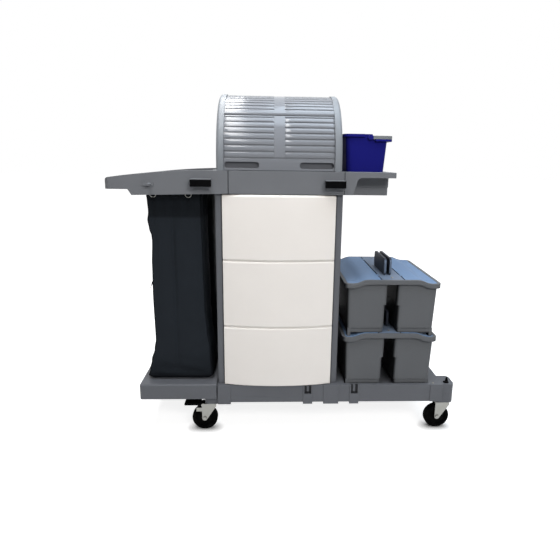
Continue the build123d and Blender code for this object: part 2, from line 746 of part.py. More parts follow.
# Tool clips on the deck's front, and a peg for a sign
clip_width = 69.0
clip_sheet = 3.0
clip_pad_height = 23.0
clip_top = 28.0             # bracket's top below the deck
clip_web = 19.0
clip_web_reach = 24.0
clip_web_width = 60.0
clip_arch = 90.0            # radius of the hollow under a pad
clip_before = 43.0          # left clip's middle before the cabinet's left face
clip_within = 33.0          # right clip's middle within the cabinet's right face
clip_places = (cabinet_left - clip_before, cabinet_right - clip_within)
bracket_top = deck_top - clip_top
pad_top = bracket_top - clip_sheet
pad_low = pad_top - clip_pad_height

with BuildPart() as tool_clip_brackets:
    for x in clip_places:
        with Locations((x, front, bracket_top)):
            Box(clip_width, clip_reach - clip_sheet, clip_sheet, align=(Align.CENTER, Align.MAX, Align.MAX))
            Box(clip_width, clip_sheet, clip_sheet + clip_pad_height + clip_web,
                align=(Align.CENTER, Align.MAX, Align.MAX))
        with BuildSketch(Plane.XZ.offset(clip_sheet - front)):
            with Locations((x, pad_low)):
                Rectangle(clip_web_width, clip_web, align=(Align.CENTER, Align.MAX))
            with Locations((x, pad_low - clip_arch - clip_sheet)):
                Circle(clip_arch, mode=Mode.SUBTRACT)
        extrude(amount=clip_web_reach - clip_sheet)
save(tool_clip_brackets, "tool_clip_brackets")

with BuildPart() as tool_clip_pads:
    for x in clip_places:
        with BuildSketch(Plane.XZ.offset(clip_sheet - front)):
            with Locations((x, pad_low)):
                Rectangle(clip_width, clip_pad_height, align=(Align.CENTER, Align.MIN))
        extrude(amount=clip_reach - clip_sheet)
    fillet(tool_clip_pads.faces().sort_by(Axis.Y)[:2].edges(), clip_sheet / 2)
save(tool_clip_pads, "tool_clip_pads")

peg_place = 158.0           # from the push handle's end
peg_drop = 49.0             # below the deck
peg_radius = 5.0
peg_length = 22.0
peg_plate_width = 40.0
peg_plate_height = 16.0
peg_plate_left = 7.0        # plate's middle from the peg
peg_plate_rise = 2.0
peg_plate_corner = 5.0
peg_chamfer = 1.0
with BuildPart() as sign_hook:
    peg_spot = (left_end + peg_place, deck_top - peg_drop)
    with BuildSketch(Plane.XZ.offset(-front)):
        with Locations((peg_spot[0] - peg_plate_left, peg_spot[1] + peg_plate_rise)):
            RectangleRounded(peg_plate_width, peg_plate_height, peg_plate_corner)
    extrude(amount=clip_sheet)
    with BuildSketch(Plane.XZ.offset(clip_sheet - front)):
        with Locations(peg_spot):
            Circle(peg_radius)
    extrude(amount=peg_length)
    chamfer(sign_hook.faces().sort_by(Axis.Y)[0].edges(), peg_chamfer)
save(sign_hook, "sign_hook")

# Laundry bag on rings, which hang from pegs on the bag frame's inner walls
bag_foot_margin = 28.0      # bag's foot to the tray's ends
bag_hem_margin = 32.0       # how much narrower the hem is than the frame's mouth, each side
ring_gap = 15.0             # bag to the frame's inner wall
bag_rise = 14.0             # bag's hem above the deck skirt's lower edge
bag_corner = 28.0
bag_sheet = 3.0
ring_radius = 11.0
ring_wire = 1.5
ring_wire_sides = 6
ring_peg = 3.0
ring_margins = (30.0, 43.5) # rings from the hem's left and right edges
bag_x = tray_x
bag_bottom_width = tray_length - 2 * bag_foot_margin
bag_top_width = mouth_right - mouth_left - 2 * bag_hem_margin
bag_depth = mouth_depth - 2 * ring_gap
ring_offsets = (ring_margins[0] - bag_top_width / 2, bag_top_width / 2 - ring_margins[1])
bag_top = deck_bottom + bag_rise
peg_z = deck_bottom
ring_rows = ((mid - mouth_depth / 2, 1), (mid + mouth_depth / 2, -1))

with BuildPart() as laundry_bag:
    with BuildSketch(Plane.XY.offset(tray_top + slip)):
        with Locations((bag_x, mid)):
            RectangleRounded(bag_bottom_width, bag_depth, bag_corner)
    with BuildSketch(Plane.XY.offset(bag_top)):
        with Locations((bag_x, mid)):
            RectangleRounded(bag_top_width, bag_depth, bag_corner)
    loft()
    with BuildSketch(Plane.XY.offset(tray_top + slip + bag_sheet)):
        with Locations((bag_x, mid)):
            RectangleRounded(bag_bottom_width - 2 * bag_sheet, bag_depth - 2 * bag_sheet,
                             bag_corner - bag_sheet)
    with BuildSketch(Plane.XY.offset(bag_top + bag_sheet)):
        with Locations((bag_x, mid)):
            RectangleRounded(bag_top_width - 2 * bag_sheet, bag_depth - 2 * bag_sheet, bag_corner - bag_sheet)
    loft(mode=Mode.SUBTRACT)
save(laundry_bag, "laundry_bag")

with BuildPart() as bag_hooks:
    for wall_y, inward in ring_rows:
        with BuildSketch(Plane.XZ.offset(-wall_y)):
            for offset_x in ring_offsets:
                with Locations((bag_x + offset_x, peg_z)):
                    Circle(ring_peg)
        extrude(amount=-inward * (ring_gap - slip))
save(bag_hooks, "bag_hooks")

ring_z = peg_z + ring_peg + slip - (ring_radius - ring_wire)
with BuildPart() as bag_rings:
    for wall_y, inward in ring_rows:
        ring_y = wall_y + inward * (ring_gap - slip) / 2
        for offset_x in ring_offsets:
            with BuildSketch(Plane((bag_x + offset_x, ring_y, ring_z))):
                with Locations((ring_radius, 0)):
                    RegularPolygon(ring_wire, ring_wire_sides)
            revolve(axis=Axis((bag_x + offset_x, ring_y, ring_z), (0, 1, 0)))
save(bag_rings, "bag_rings")

# Casters: stems in the ears, forks that swivel on them, wheels on through axles, brakes on the left pair
stem_flange = 20.0
stem_flange_height = 3.0
stem_head = 9.0
stem_head_height = 3.5
head_gap = 0.5
bumper_length = 22.0
bumper_width = 18.0
bumper_height = 3.0
bumper_forward = 33.0       # bumper's middle before the swivel axis
bumper_inward = 8.5
bumper_peg_forward = 17.0   # bumper's peg before the swivel axis
bumper_peg = 6.0
bumper_peg_height = 14.0
bumper_taper = 12.0
fork_gap = wheel_width + 2 * fork_play
fork_bottom = fork_top - fork_crown
fork_eye = 10.0
fork_hang = 10.0            # depth of the fork plates' full width
fork_lead = 36.0            # fork plates' straight edge behind the swivel axis
brake_arm = 58.0            # reach of the plates that shield the brake, behind the swivel axis
brake_arm_top = 16.0        # those plates below the fork's top
brake_arm_height = 16.0
axle_head = 8.0
axle_head_height = 4.0
axle_head_sides = 6
hub_half = 15.0
hub_ring = 16.0
web_half = 8.0
tyre_ring = 34.0
tyre_half = wheel_width / 2
tyre_edge = 5.0
tyre_lip = 3.0              # run of the tyre's inner flank
brake_back = 32.0           # brake pivot behind the swivel axis
brake_drop = 6.0            # brake pivot below the fork's top
brake_pin = 3.0
brake_eye = 7.0
brake_barrel = 5.0
pedal_length = 65.0
pedal_width = 36.0
pedal_height = 8.5
pedal_gap = 8.0             # brake pivot to the pedal's plate
pedal_edge = 3.0
housing_top = caster_height - stem_flange_height - head_gap
brake_z = fork_top - brake_drop
wheel_z = wheel_diameter / 2

with BuildPart() as caster_stems:
    for x, y in caster_points.values():
        for low, high, radius in (
            (fork_bottom - head_gap - stem_head_height, fork_bottom - head_gap, stem_head),
            (fork_bottom - head_gap, caster_height + stem_depth, kingpin_radius),
            (caster_height - stem_flange_height, caster_height, stem_flange),
        ):
            with BuildSketch(Plane.XY.offset(low)):
                with Locations((x, y)):
                    Circle(radius)
            extrude(amount=high - low)
save(caster_stems, "caster_stems")

with BuildPart() as stem_caps:
    for corner in ("front_right", "rear_right"):
        x, y = caster_points[corner]
        outward = -1 if y < mid else 1
        with BuildSketch(Plane.XY.offset(ear_top)):
            with Locations((x - bumper_inward, y + outward * bumper_forward)):
                SlotOverall(bumper_length, bumper_width)
        extrude(amount=bumper_height)
        with BuildSketch(Plane.XY.offset(ear_top)):
            with Locations((x, y + outward * bumper_peg_forward)):
                Circle(bumper_peg)
        extrude(amount=bumper_peg_height, taper=bumper_taper)
save(stem_caps, "stem_caps")


def fork_side(x):
    """Side outline of a fork's plates: from a level top down to the axle's eye."""
    with BuildSketch() as side:
        with Locations((x - wheel_trail, wheel_z)):
            Circle(fork_eye)
        with Locations((x + fork_half, fork_top)):
            Rectangle(fork_half + fork_lead, fork_hang, align=(Align.MAX, Align.MAX))
        make_hull()
    return side.sketch


for corner, (x, y) in caster_points.items():
    wheel_x = x - wheel_trail
    has_brake = corner in braked
    with BuildPart() as fork:
        with BuildSketch(Plane.XZ.offset(-y)):
            add(fork_side(x))
            if has_brake:
                with Locations((x - brake_back, brake_z)):
                    Circle(brake_eye)
                with Locations((x - brake_arm, fork_top - brake_arm_top)):
                    Rectangle(brake_arm, brake_arm_height, align=(Align.MIN, Align.MAX))
        extrude(amount=fork_gap / 2 + fork_plate, both=True)
        with Locations((x - far, y, 0)):
            Box(2 * far, fork_gap, fork_bottom, align=(Align.MIN, Align.CENTER, Align.MIN),
                mode=Mode.SUBTRACT)
        if has_brake:
            with Locations((x - fork_half, y, fork_bottom)):
                Box(far, fork_gap, 2 * fork_crown, align=(Align.MAX, Align.CENTER, Align.MIN),
                    mode=Mode.SUBTRACT)
        with BuildSketch(Plane.XY.offset(fork_bottom)):
            with Locations((x, y)):
                Circle(fork_half)
        extrude(amount=housing_top - fork_bottom)
        if has_brake:
            with BuildSketch(Plane.XZ.offset(-y)):
                with Locations((x - brake_back, brake_z)):
                    Circle(brake_pin)
            extrude(amount=fork_gap / 2 + fork_plate, both=True)
        with BuildSketch(Plane.XY.offset(fork_bottom)):
            with Locations((x, y)):
                Circle(kingpin_radius + running)
        extrude(amount=housing_top - fork_bottom, mode=Mode.SUBTRACT)
        with BuildSketch(Plane.XZ.offset(-y)):
            with Locations((wheel_x, wheel_z)):
                Circle(axle_radius + running)
        extrude(amount=fork_gap, both=True, mode=Mode.SUBTRACT)
    save(fork, f"caster_fork_{corner}")

    with BuildPart() as axle:
        with BuildSketch(Plane.XZ.offset(-y)):
            with Locations((wheel_x, wheel_z)):
                Circle(axle_radius)
        extrude(amount=fork_gap / 2 + fork_plate, both=True)
        for side in (-1, 1):
            with BuildSketch(Plane.XZ.offset(side * (fork_gap / 2 + fork_plate) - y)):
                with Locations((wheel_x, wheel_z)):
                    RegularPolygon(axle_head, axle_head_sides)
            extrude(amount=side * axle_head_height)
    save(axle, f"caster_axle_{corner}")

    with BuildPart() as wheel:
        with BuildSketch(Plane((wheel_x, y, wheel_z))):
            with BuildLine() as half_profile:
                Polyline((axle_radius + running, 0), (axle_radius + running, hub_half), (hub_ring, web_half),
                         (tyre_ring, web_half), (tyre_ring + tyre_lip, tyre_half),
                         (wheel_z - tyre_edge, tyre_half), (wheel_z, tyre_half - tyre_edge), (wheel_z, 0))
                mirror(half_profile.line, about=Plane.XZ)
            make_face()
        revolve(axis=Axis((wheel_x, y, wheel_z), (0, 1, 0)))
    save(wheel, f"caster_wheel_{corner}")

    if has_brake:
        pivot_x = x - brake_back
        with BuildPart() as pedal:
            with BuildSketch(Plane.XZ.offset(-y)):
                with Locations((pivot_x, brake_z)):
                    Circle(brake_barrel)
                    Rectangle(pedal_gap + brake_barrel, pedal_height - brake_barrel / 2,
                              align=(Align.MAX, Align.MIN))
            extrude(amount=fork_gap / 2 - fork_play / 2, both=True)
            with BuildSketch(Plane.XZ.offset(-y)):
                with Locations((pivot_x - pedal_gap, brake_z)):
                    Rectangle(pedal_length, pedal_height, align=(Align.MAX, Align.MIN))
            extrude(amount=pedal_width / 2, both=True)
            fillet(pedal.faces().sort_by(Axis.X)[0].edges(), pedal_edge)
            with BuildSketch(Plane.XZ.offset(-y)):
                with Locations((pivot_x, brake_z)):
                    Circle(brake_pin + running)
            extrude(amount=pedal_width, both=True, mode=Mode.SUBTRACT)
        save(pedal, f"brake_pedal_{corner}")


# Mop boxes, stacked on the base recess
mouth_half_x = box_width / 2 - bin_margin
mouth_half_y = box_depth / 2 - bin_margin
lid_reach = box_width / 2 - rim_bead - lid_play
lid_start = bridge_half + lid_gap
lid_axis_x = bridge_half + lid_axis_gap
lid_half_y = box_depth / 2 - rim_bead - slip
hinge_span = knuckle_length + 2 * (lug_length + slip)


def arched_layer(crown, top, bottom):
    """Cross-section of a layer between two depths below the arched rim, whose crown is at a height."""
    edge = box_width / 2 + rim_band
    bend = (crown_half + shoulder_half) / 2
    with BuildSketch() as layer:
        with BuildLine():
            for depth in (top, bottom):
                high = crown - depth
                low = high - box_dip
                Line((box_x - crown_half, high), (box_x + crown_half, high))
                for side in (-1, 1):
                    turn = (box_x + side * bend, (high + low) / 2)
                    TangentArc((box_x + side * crown_half, high), turn, tangent=(side, 0))
                    TangentArc((box_x + side * shoulder_half, low), turn, tangent=(-side, 0))
                    Line((box_x + side * shoulder_half, low), (box_x + side * edge, low))
            for side in (-1, 1):
                Line((box_x + side * edge, crown - top - box_dip),
                     (box_x + side * edge, crown - bottom - box_dip))
        make_face()
    return layer.sketch


def box_plan(inset):
    """Plan of a box's rim, drawn in by an inset."""
    with BuildSketch() as plan:
        with Locations((box_x, box_y)):
            RectangleRounded(box_width - 2 * inset, box_depth - 2 * inset, max(rim_corner - inset, wall))
    return plan.sketch


def bin_section(side, inner, draw, inset):
    """Plan of one bin at a height, from its inner wall's place and the draw of its outer walls."""
    near = inner + inset
    distant = mouth_half_x - draw - inset
    with BuildSketch() as section:
        with Locations((box_x + side * (near + distant) / 2, box_y)):
            RectangleRounded(distant - near, 2 * (mouth_half_y - draw - inset), bin_corner - inset)
    return section.sketch


lower_level = recess_floor + box_dip
for name, level in (("lower", lower_level), ("upper", lower_level + box_pitch)):
    crown = level + box_pitch
    flange_top = crown - sheet
    wide = bin_gap / 2
    narrow = wide + bin_step_width
    step_draw = bin_draft * (box_pitch - sheet - bin_step) / (box_pitch - sheet - bin_floor)

    with BuildPart() as lid_recess:
        with BuildSketch(Plane.XZ.offset(-box_y)):
            add(arched_layer(crown, -rim_band, sheet))
        extrude(amount=box_depth / 2, both=True)
        with BuildSketch(Plane.XY.offset(level)):
            add(box_plan(rim_bead))
        extrude(amount=2 * box_pitch, mode=Mode.INTERSECT)

    with BuildPart() as rim_hollow:
        with BuildSketch(Plane.XZ.offset(-box_y)):
            add(arched_layer(crown, 2 * sheet, 2 * rim_band))
        extrude(amount=box_depth / 2, both=True)
        with BuildSketch(Plane.XY.offset(level)):
            add(box_plan(wall))
        extrude(amount=2 * box_pitch, mode=Mode.INTERSECT)

    with BuildPart() as bins:
        for side in (-1, 1):
            with BuildSketch(Plane.XY.offset(level + bin_floor)):
                add(bin_section(side, narrow, bin_draft, 0))
            with BuildSketch(Plane.XY.offset(level + bin_step)):
                add(bin_section(side, narrow, step_draw, 0))
            loft()
            with BuildSketch(Plane.XY.offset(level + bin_step)):
                add(bin_section(side, wide, step_draw, 0))
            with BuildSketch(Plane.XY.offset(flange_top)):
                add(bin_section(side, wide, 0, 0))
            loft()
            with BuildSketch(Plane.XY.offset(level + foot_rise)):
                add(bin_section(side, narrow, bin_draft, foot_inset))
                add(bin_section(side, narrow, bin_draft, foot_inset + sheet), mode=Mode.SUBTRACT)
            extrude(amount=bin_floor - foot_rise)
        with BuildSketch(Plane.XZ.offset(-box_y)):
            add(arched_layer(crown, -2 * box_dip, sheet))
        extrude(amount=box_depth / 2, both=True, mode=Mode.SUBTRACT)

    with BuildPart() as bin_insides:
        for side in (-1, 1):
            with BuildSketch(Plane.XY.offset(level + bin_floor + bin_wall)):
                add(bin_section(side, narrow, bin_draft, bin_wall))
            with BuildSketch(Plane.XY.offset(level + bin_step + bin_wall)):
                add(bin_section(side, narrow, step_draw, bin_wall))
            loft()
            with BuildSketch(Plane.XY.offset(level + bin_step + bin_wall)):
                add(bin_section(side, wide, step_draw, bin_wall))
            with BuildSketch(Plane.XY.offset(crown)):
                add(bin_section(side, wide, 0, bin_wall))
            loft()

    with BuildPart() as box:
        with BuildSketch(Plane.XZ.offset(-box_y)):
            add(arched_layer(crown, 0, rim_band))
        extrude(amount=box_depth / 2, both=True)
        with BuildSketch(Plane.XY.offset(level)):
            add(box_plan(0))
        extrude(amount=2 * box_pitch, mode=Mode.INTERSECT)
        add(rim_hollow.part, mode=Mode.SUBTRACT)
        add(bins.part)
        add(lid_recess.part, mode=Mode.SUBTRACT)
        add(bin_insides.part, mode=Mode.SUBTRACT)
        with Locations((box_x, box_y, level + bin_floor)):
            with GridLocations(2 * foot_half_x - leg_width, 2 * foot_half_y - leg_length, 2, 2):
                Box(leg_width, leg_length, bin_floor + box_dip, align=(Align.CENTER, Align.CENTER, Align.MAX))
    save(box, f"{name}_box")

    with BuildPart() as bridge:
        with Locations((box_x, box_y, flange_top)):
            Box(2 * bridge_half, 2 * lid_half_y, sheet, align=(Align.CENTER, Align.CENTER, Align.MIN))
        for side in (-1, 1):
            with BuildSketch(Plane.YZ.offset(handle_x + side * handle_spread / 2)) as plate:
                with Locations((handle_y, crown)):
                    Rectangle(handle_length, handle_height, align=(Align.CENTER, Align.MIN))
                fillet(plate.vertices().group_by(Axis.Z)[-1], handle_corner)
            extrude(amount=handle_plate / 2, both=True)
            for hinge_y in (box_y - hinge_spread, box_y + hinge_spread):
                with BuildSketch(Plane.XZ.offset(-hinge_y)):
                    with Locations((box_x + side * lid_axis_x, flange_top + sheet / 2)):
                        Circle(lid_knuckle)
                        Rectangle(2 * lid_knuckle, sheet)
                extrude(amount=hinge_span / 2, both=True)
                with BuildSketch(Plane.XZ.offset(-hinge_y)):
                    with Locations((box_x + side * lid_axis_x, flange_top + sheet / 2)):
                        Circle(lid_knuckle + slip)
                extrude(amount=knuckle_length / 2 + slip, both=True, mode=Mode.SUBTRACT)
                with BuildSketch(Plane.XZ.offset(-hinge_y)):
                    with Locations((box_x + side * lid_axis_x, flange_top + sheet / 2)):
                        Circle(lid_pin)
                extrude(amount=hinge_span / 2, both=True)
    save(bridge, f"{name}_box_bridge")

    for hand, side in (("left", -1), ("right", 1)):
        with BuildPart() as lid:
            with BuildSketch(Plane.XZ.offset(-box_y)):
                add(arched_layer(crown, 0, sheet - slip))
                with Locations((box_x + side * (lid_start + lid_reach) / 2, crown)):
                    Rectangle(lid_reach - lid_start, 4 * box_dip, mode=Mode.INTERSECT)
            extrude(amount=lid_half_y, both=True)
            with BuildSketch(Plane.XY.offset(level)):
                add(box_plan(rim_bead + slip))
            extrude(amount=2 * box_pitch, mode=Mode.INTERSECT)
            with Locations((box_x + side * lid_axis_x, box_y, crown)):
                with GridLocations(0, 2 * hinge_spread, 1, 2):
                    Box(2 * (lid_knuckle + seam), hinge_span + 2 * seam, 4 * sheet, mode=Mode.SUBTRACT)
            for hinge_y in (box_y - hinge_spread, box_y + hinge_spread):
                with BuildSketch(Plane.XZ.offset(-hinge_y)):
                    with Locations((box_x + side * lid_axis_x, flange_top + sheet / 2)):
                        Circle(lid_knuckle)
                    with Locations((box_x + side * (lid_axis_x + lid_knuckle), flange_top + sheet / 2)):
                        Rectangle(2 * lid_knuckle, sheet)
                    with Locations((box_x + side * lid_axis_x, flange_top + sheet / 2)):
                        Circle(lid_pin + running, mode=Mode.SUBTRACT)
                extrude(amount=knuckle_length / 2, both=True)
            slot_x = box_x + side * (lid_reach - lid_slot_margin)
            with Locations((slot_x, box_y, crown - box_dip)):
                with GridLocations(0, 2 * (lid_half_y - lid_slot_end), 1, 2):
                    Box(lid_slot_length, lid_slot_width, 2 * box_dip, mode=Mode.SUBTRACT)
        save(lid, f"{name}_box_lid_{hand}")

# Small bucket in the well's front half, with a bail that folds down onto its ledge
bucket_play = 19.5          # bucket's foot to the well's outer wall
bucket_flare = 13.5         # how far each wall leans out
bucket_height = 214.5
bucket_corner = 20.0
bucket_wall = 2.5
bucket_rim = 8.0
bucket_rim_height = 10.0
ledge_drop = 18.0           # ledge below the rim
ledge_height = 7.0
ledge_out = 17.5            # ledge's end beyond the bucket's mouth
ledge_side_out = 11.0       # ledge beyond the mouth at its sides
ledge_start = 28.0
ledge_slope = 10.0
ledge_corner = 34.0
bail_width = 7.0
bail_height = 12.0
bail_place = 10.0           # bail's pivot from the bucket's middle
bail_pin = 4.0
bail_eye = 9.0
bucket_floor_width = well_width - 2 * bucket_play
bucket_top_width = bucket_floor_width + 2 * bucket_flare
ledge_reach = bucket_top_width / 2 + ledge_out
ledge_side = bucket_top_width / 2 + ledge_side_out
bucket_x = well_x
bucket_y = mid - well_length / 4
bucket_top = well_floor + bucket_height
ledge_top = bucket_top - ledge_drop
bail_x = bucket_x + bail_place
bail_z = ledge_top + slip + bail_height / 2

with BuildPart() as small_bucket:
    with BuildSketch(Plane.XY.offset(well_floor)):
        with Locations((bucket_x, bucket_y)):
            RectangleRounded(bucket_floor_width, bucket_floor_width, bucket_corner)
    with BuildSketch(Plane.XY.offset(bucket_top)):
        with Locations((bucket_x, bucket_y)):
            RectangleRounded(bucket_top_width, bucket_top_width, bucket_corner)
    loft()
    with BuildSketch(Plane.XY.offset(bucket_top)):
        with Locations((bucket_x, bucket_y)):
            RectangleRounded(bucket_top_width + 2 * bucket_rim, bucket_top_width + 2 * bucket_rim,
                             bucket_corner + bucket_rim)
        with Locations((bucket_x - bail_place, bucket_y)):
            Rectangle(far, far, align=(Align.MIN, Align.CENTER), mode=Mode.SUBTRACT)
    extrude(amount=-bucket_rim_height)
    with BuildSketch(Plane.XY.offset(ledge_top)):
        with Locations((bucket_x, bucket_y)):
            RectangleRounded(2 * ledge_reach, 2 * ledge_side, ledge_corner)
        with Locations((bucket_x + ledge_start, bucket_y)):
            Rectangle(far, far, align=(Align.MAX, Align.CENTER), mode=Mode.SUBTRACT)
    extrude(amount=-ledge_height)
    with BuildSketch(Plane.XZ.offset(-bucket_y)):
        with BuildLine():
            Polyline((bucket_x + ledge_start, ledge_top), (bucket_x + far, ledge_top),
                     (bucket_x + far, bucket_top), (bucket_x + ledge_start - ledge_slope, bucket_top),
                     close=True)
        make_face()
    extrude(amount=far, both=True, mode=Mode.SUBTRACT)
    with BuildSketch(Plane.XZ.offset(-bucket_y)):
        with Locations((bail_x, bail_z)):
            Circle(bail_pin)
    extrude(amount=ledge_side + slip, both=True)
    with BuildSketch(Plane.XY.offset(well_floor + bucket_wall)):
        with Locations((bucket_x, bucket_y)):
            RectangleRounded(bucket_floor_width - 2 * bucket_wall, bucket_floor_width - 2 * bucket_wall,
                             bucket_corner - bucket_wall)
    with BuildSketch(Plane.XY.offset(bucket_top)):
        with Locations((bucket_x, bucket_y)):
            RectangleRounded(bucket_top_width - 2 * bucket_wall, bucket_top_width - 2 * bucket_wall,
                             bucket_corner - bucket_wall)
    loft(mode=Mode.SUBTRACT)
save(small_bucket, "small_bucket")

with BuildPart() as bucket_bail:
    with BuildSketch(Plane.XY.offset(ledge_top + slip)):
        with Locations((bucket_x, bucket_y)):
            RectangleRounded(2 * ledge_reach, 2 * ledge_side, ledge_corner)
            RectangleRounded(2 * (ledge_reach - bail_width), 2 * (ledge_side - bail_width),
                             ledge_corner - bail_width, mode=Mode.SUBTRACT)
        with Locations((bail_x, bucket_y)):
            Rectangle(far, far, align=(Align.MAX, Align.CENTER), mode=Mode.SUBTRACT)
    extrude(amount=bail_height)
    for side in (-1, 1):
        with BuildSketch(Plane.XZ.offset(side * ledge_side - bucket_y)):
            with Locations((bail_x, bail_z)):
                Circle(bail_eye)
        extrude(amount=-side * bail_width)
    with BuildSketch(Plane.XZ.offset(-bucket_y)):
        with Locations((bail_x, bail_z)):
            Circle(bail_pin + running)
    extrude(amount=far, both=True, mode=Mode.SUBTRACT)
save(bucket_bail, "bucket_bail")
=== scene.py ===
"""Finishes, soft goods, trim and stage of a multifunction cleaning trolley.

The file is laid out as an add-on and is run as a script.
"""
import json
import math

import bmesh
import bpy
from bpy.props import FloatProperty, FloatVectorProperty, IntProperty, PointerProperty
from mathutils import Matrix, Vector, noise


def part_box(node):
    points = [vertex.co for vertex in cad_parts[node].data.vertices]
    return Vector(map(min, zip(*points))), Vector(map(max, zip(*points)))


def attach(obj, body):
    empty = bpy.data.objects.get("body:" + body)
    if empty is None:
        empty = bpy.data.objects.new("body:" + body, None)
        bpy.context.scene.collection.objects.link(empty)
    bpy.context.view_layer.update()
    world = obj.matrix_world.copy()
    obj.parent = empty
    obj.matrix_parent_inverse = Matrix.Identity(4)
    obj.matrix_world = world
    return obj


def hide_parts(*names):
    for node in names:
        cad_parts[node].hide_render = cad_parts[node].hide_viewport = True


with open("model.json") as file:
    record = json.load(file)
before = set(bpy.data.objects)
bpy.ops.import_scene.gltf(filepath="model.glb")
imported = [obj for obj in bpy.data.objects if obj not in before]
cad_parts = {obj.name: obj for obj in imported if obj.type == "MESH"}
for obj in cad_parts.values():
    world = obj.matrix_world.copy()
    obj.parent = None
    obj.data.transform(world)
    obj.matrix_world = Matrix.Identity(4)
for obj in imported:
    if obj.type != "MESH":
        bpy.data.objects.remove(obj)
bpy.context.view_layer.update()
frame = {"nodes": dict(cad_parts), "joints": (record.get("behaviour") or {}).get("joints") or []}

bl_info = {
    "name": "Cleaning trolley",
    "version": (1, 0, 0),
    "blender": (4, 5, 0),
    "location": "View3D > Sidebar > Trolley",
    "description": "Finishes a packed cleaning trolley and sets its stage",
    "category": "Object",
}


def paint(red, green, blue):
    """A colour from 0 to 255 per channel as the linear values that shaders use."""
    linear = []
    for channel in (red, green, blue):
        share = channel / 255
        linear.append(share / 12.92 if share <= 0.04045 else ((share + 0.055) / 1.055) ** 2.4)
    return tuple(linear)


def colour_property(label, words, default):
    """A colour that a user may change."""
    return FloatVectorProperty(
        name=label, description=words, subtype="COLOR", size=3, min=0, max=1, default=default)


def length_property(label, words, default):
    """A length in metres that a user may change."""
    return FloatProperty(name=label, description=words, default=default, min=0, unit="LENGTH", precision=4)


class TrolleyColours(bpy.types.PropertyGroup):
    """Colours of the trolley's finishes."""

    deck: colour_property("Deck", "Moulded deck, rails and clips", paint(107, 109, 113))
    base: colour_property("Base", "Base, tray and cabinet panels", paint(94, 96, 101))
    drawers: colour_property("Drawers", "Bowed drawer fronts", paint(231, 226, 221))
    hood: colour_property("Hood", "Roll-top hood's cover and rear shell", paint(112, 115, 121))
    cheeks: colour_property("Cheeks", "Roll-top hood's cheeks", paint(121, 125, 130))
    bag: colour_property("Bag", "Laundry bag cloth", paint(33, 37, 42))
    webbing: colour_property("Webbing", "Piping, loops, stitches and zip tape of the bag", paint(18, 20, 24))
    # Painted shade in the deck's seams and inside the base's latch pockets
    seams: colour_property("Seams", "Seams of the deck and latch pockets of the base", paint(34, 35, 38))
    bins: colour_property("Bins", "Mop boxes and drawer tubs", paint(99, 101, 104))
    # Painted shade on the bins' walls that face the cabinet or the next bin
    gap_shade: colour_property("Gaps", "Bin walls that face a narrow gap", paint(20, 21, 23))
    lids: colour_property("Lids", "Mop box lids", paint(110, 133, 163))
    bridges: colour_property("Bridges", "Bridges between the mop boxes' lids", paint(108, 121, 140))
    # Painted shade on the handle plates, whose upper front edges take the bridges' colour as a painted
    # highlight
    handles: colour_property("Handles", "Handle plates of the mop boxes", paint(48, 52, 62))
    bucket: colour_property("Bucket", "Small bucket and the eyes of its bail", paint(28, 29, 112))
    bail: colour_property("Bail", "Bucket's bail", paint(122, 125, 128))
    rubber: colour_property("Rubber", "Clip pads, caps, pedals and zip teeth", paint(7, 7, 8))
    tyre: colour_property("Tyre", "Caster wheels", paint(5, 5, 5))
    zinc: colour_property("Zinc", "Forks, axles, stems, runners and screws", paint(146, 146, 143))
    floor: colour_property("Floor", "Studio floor", (0.5, 0.5, 0.5))


class TrolleySizes(bpy.types.PropertyGroup):
    """Sizes of the details that are added to the frame."""

    grain: length_property("Grain", "Size of the moulded grain", 0.0007)
    edge: length_property("Edge", "Radius that moulded edges appear to have", 0.0016)
    slat_crown: length_property("Slat crown", "How far a hood slat rises in its middle", 0.0013)
    cloth: length_property("Cloth", "Thickness of the bag's cloth", 0.0012)
    crease: length_property("Crease", "Depth of the crease down the bag's front", 0.0065)
    gusset: length_property("Gusset", "How far the bag's side walls fold in", 0.028)
    piping: length_property("Piping", "Radius of the bag's piping", 0.0018)
    stitch: length_property("Stitch", "Spacing of the bag's stitches", 0.006)
    tooth: length_property("Tooth", "Spacing of the zip's teeth", 0.0036)
    screw: length_property("Screw", "Radius of a screw's head", 0.0045)
    rib: length_property("Rib", "Spacing of a brake pedal's ribs", 0.0085)
    bag_rows: IntProperty(name="Bag rows", description="Rows of faces up the bag's wall", default=96, min=24,
                          max=200)


class Wire:
    """One output of a node tree, with arithmetic that adds the Math nodes it needs."""

    def __init__(self, graph, socket):
        self.graph = graph
        self.socket = socket

    def math(self, operation, *others):
        inputs = {0: self}
        inputs.update(enumerate(others, 1))
        return self.graph.node("ShaderNodeMath", inputs, operation=operation)

    def __add__(self, other):
        return self.math("ADD", other)

    __radd__ = __add__

    def __mul__(self, other):
        return self.math("MULTIPLY", other)

    __rmul__ = __mul__

    def __sub__(self, other):
        return self.math("SUBTRACT", other)

    def __rsub__(self, other):
        return self.graph.node("ShaderNodeMath", {0: other, 1: self}, operation="SUBTRACT")

    def __truediv__(self, other):
        return self.math("DIVIDE", other)

    def __pow__(self, other):
        return self.math("POWER", other)

    def of(self, name):
        """Another output of the same node."""
        return Wire(self.graph, self.socket.node.outputs[name])


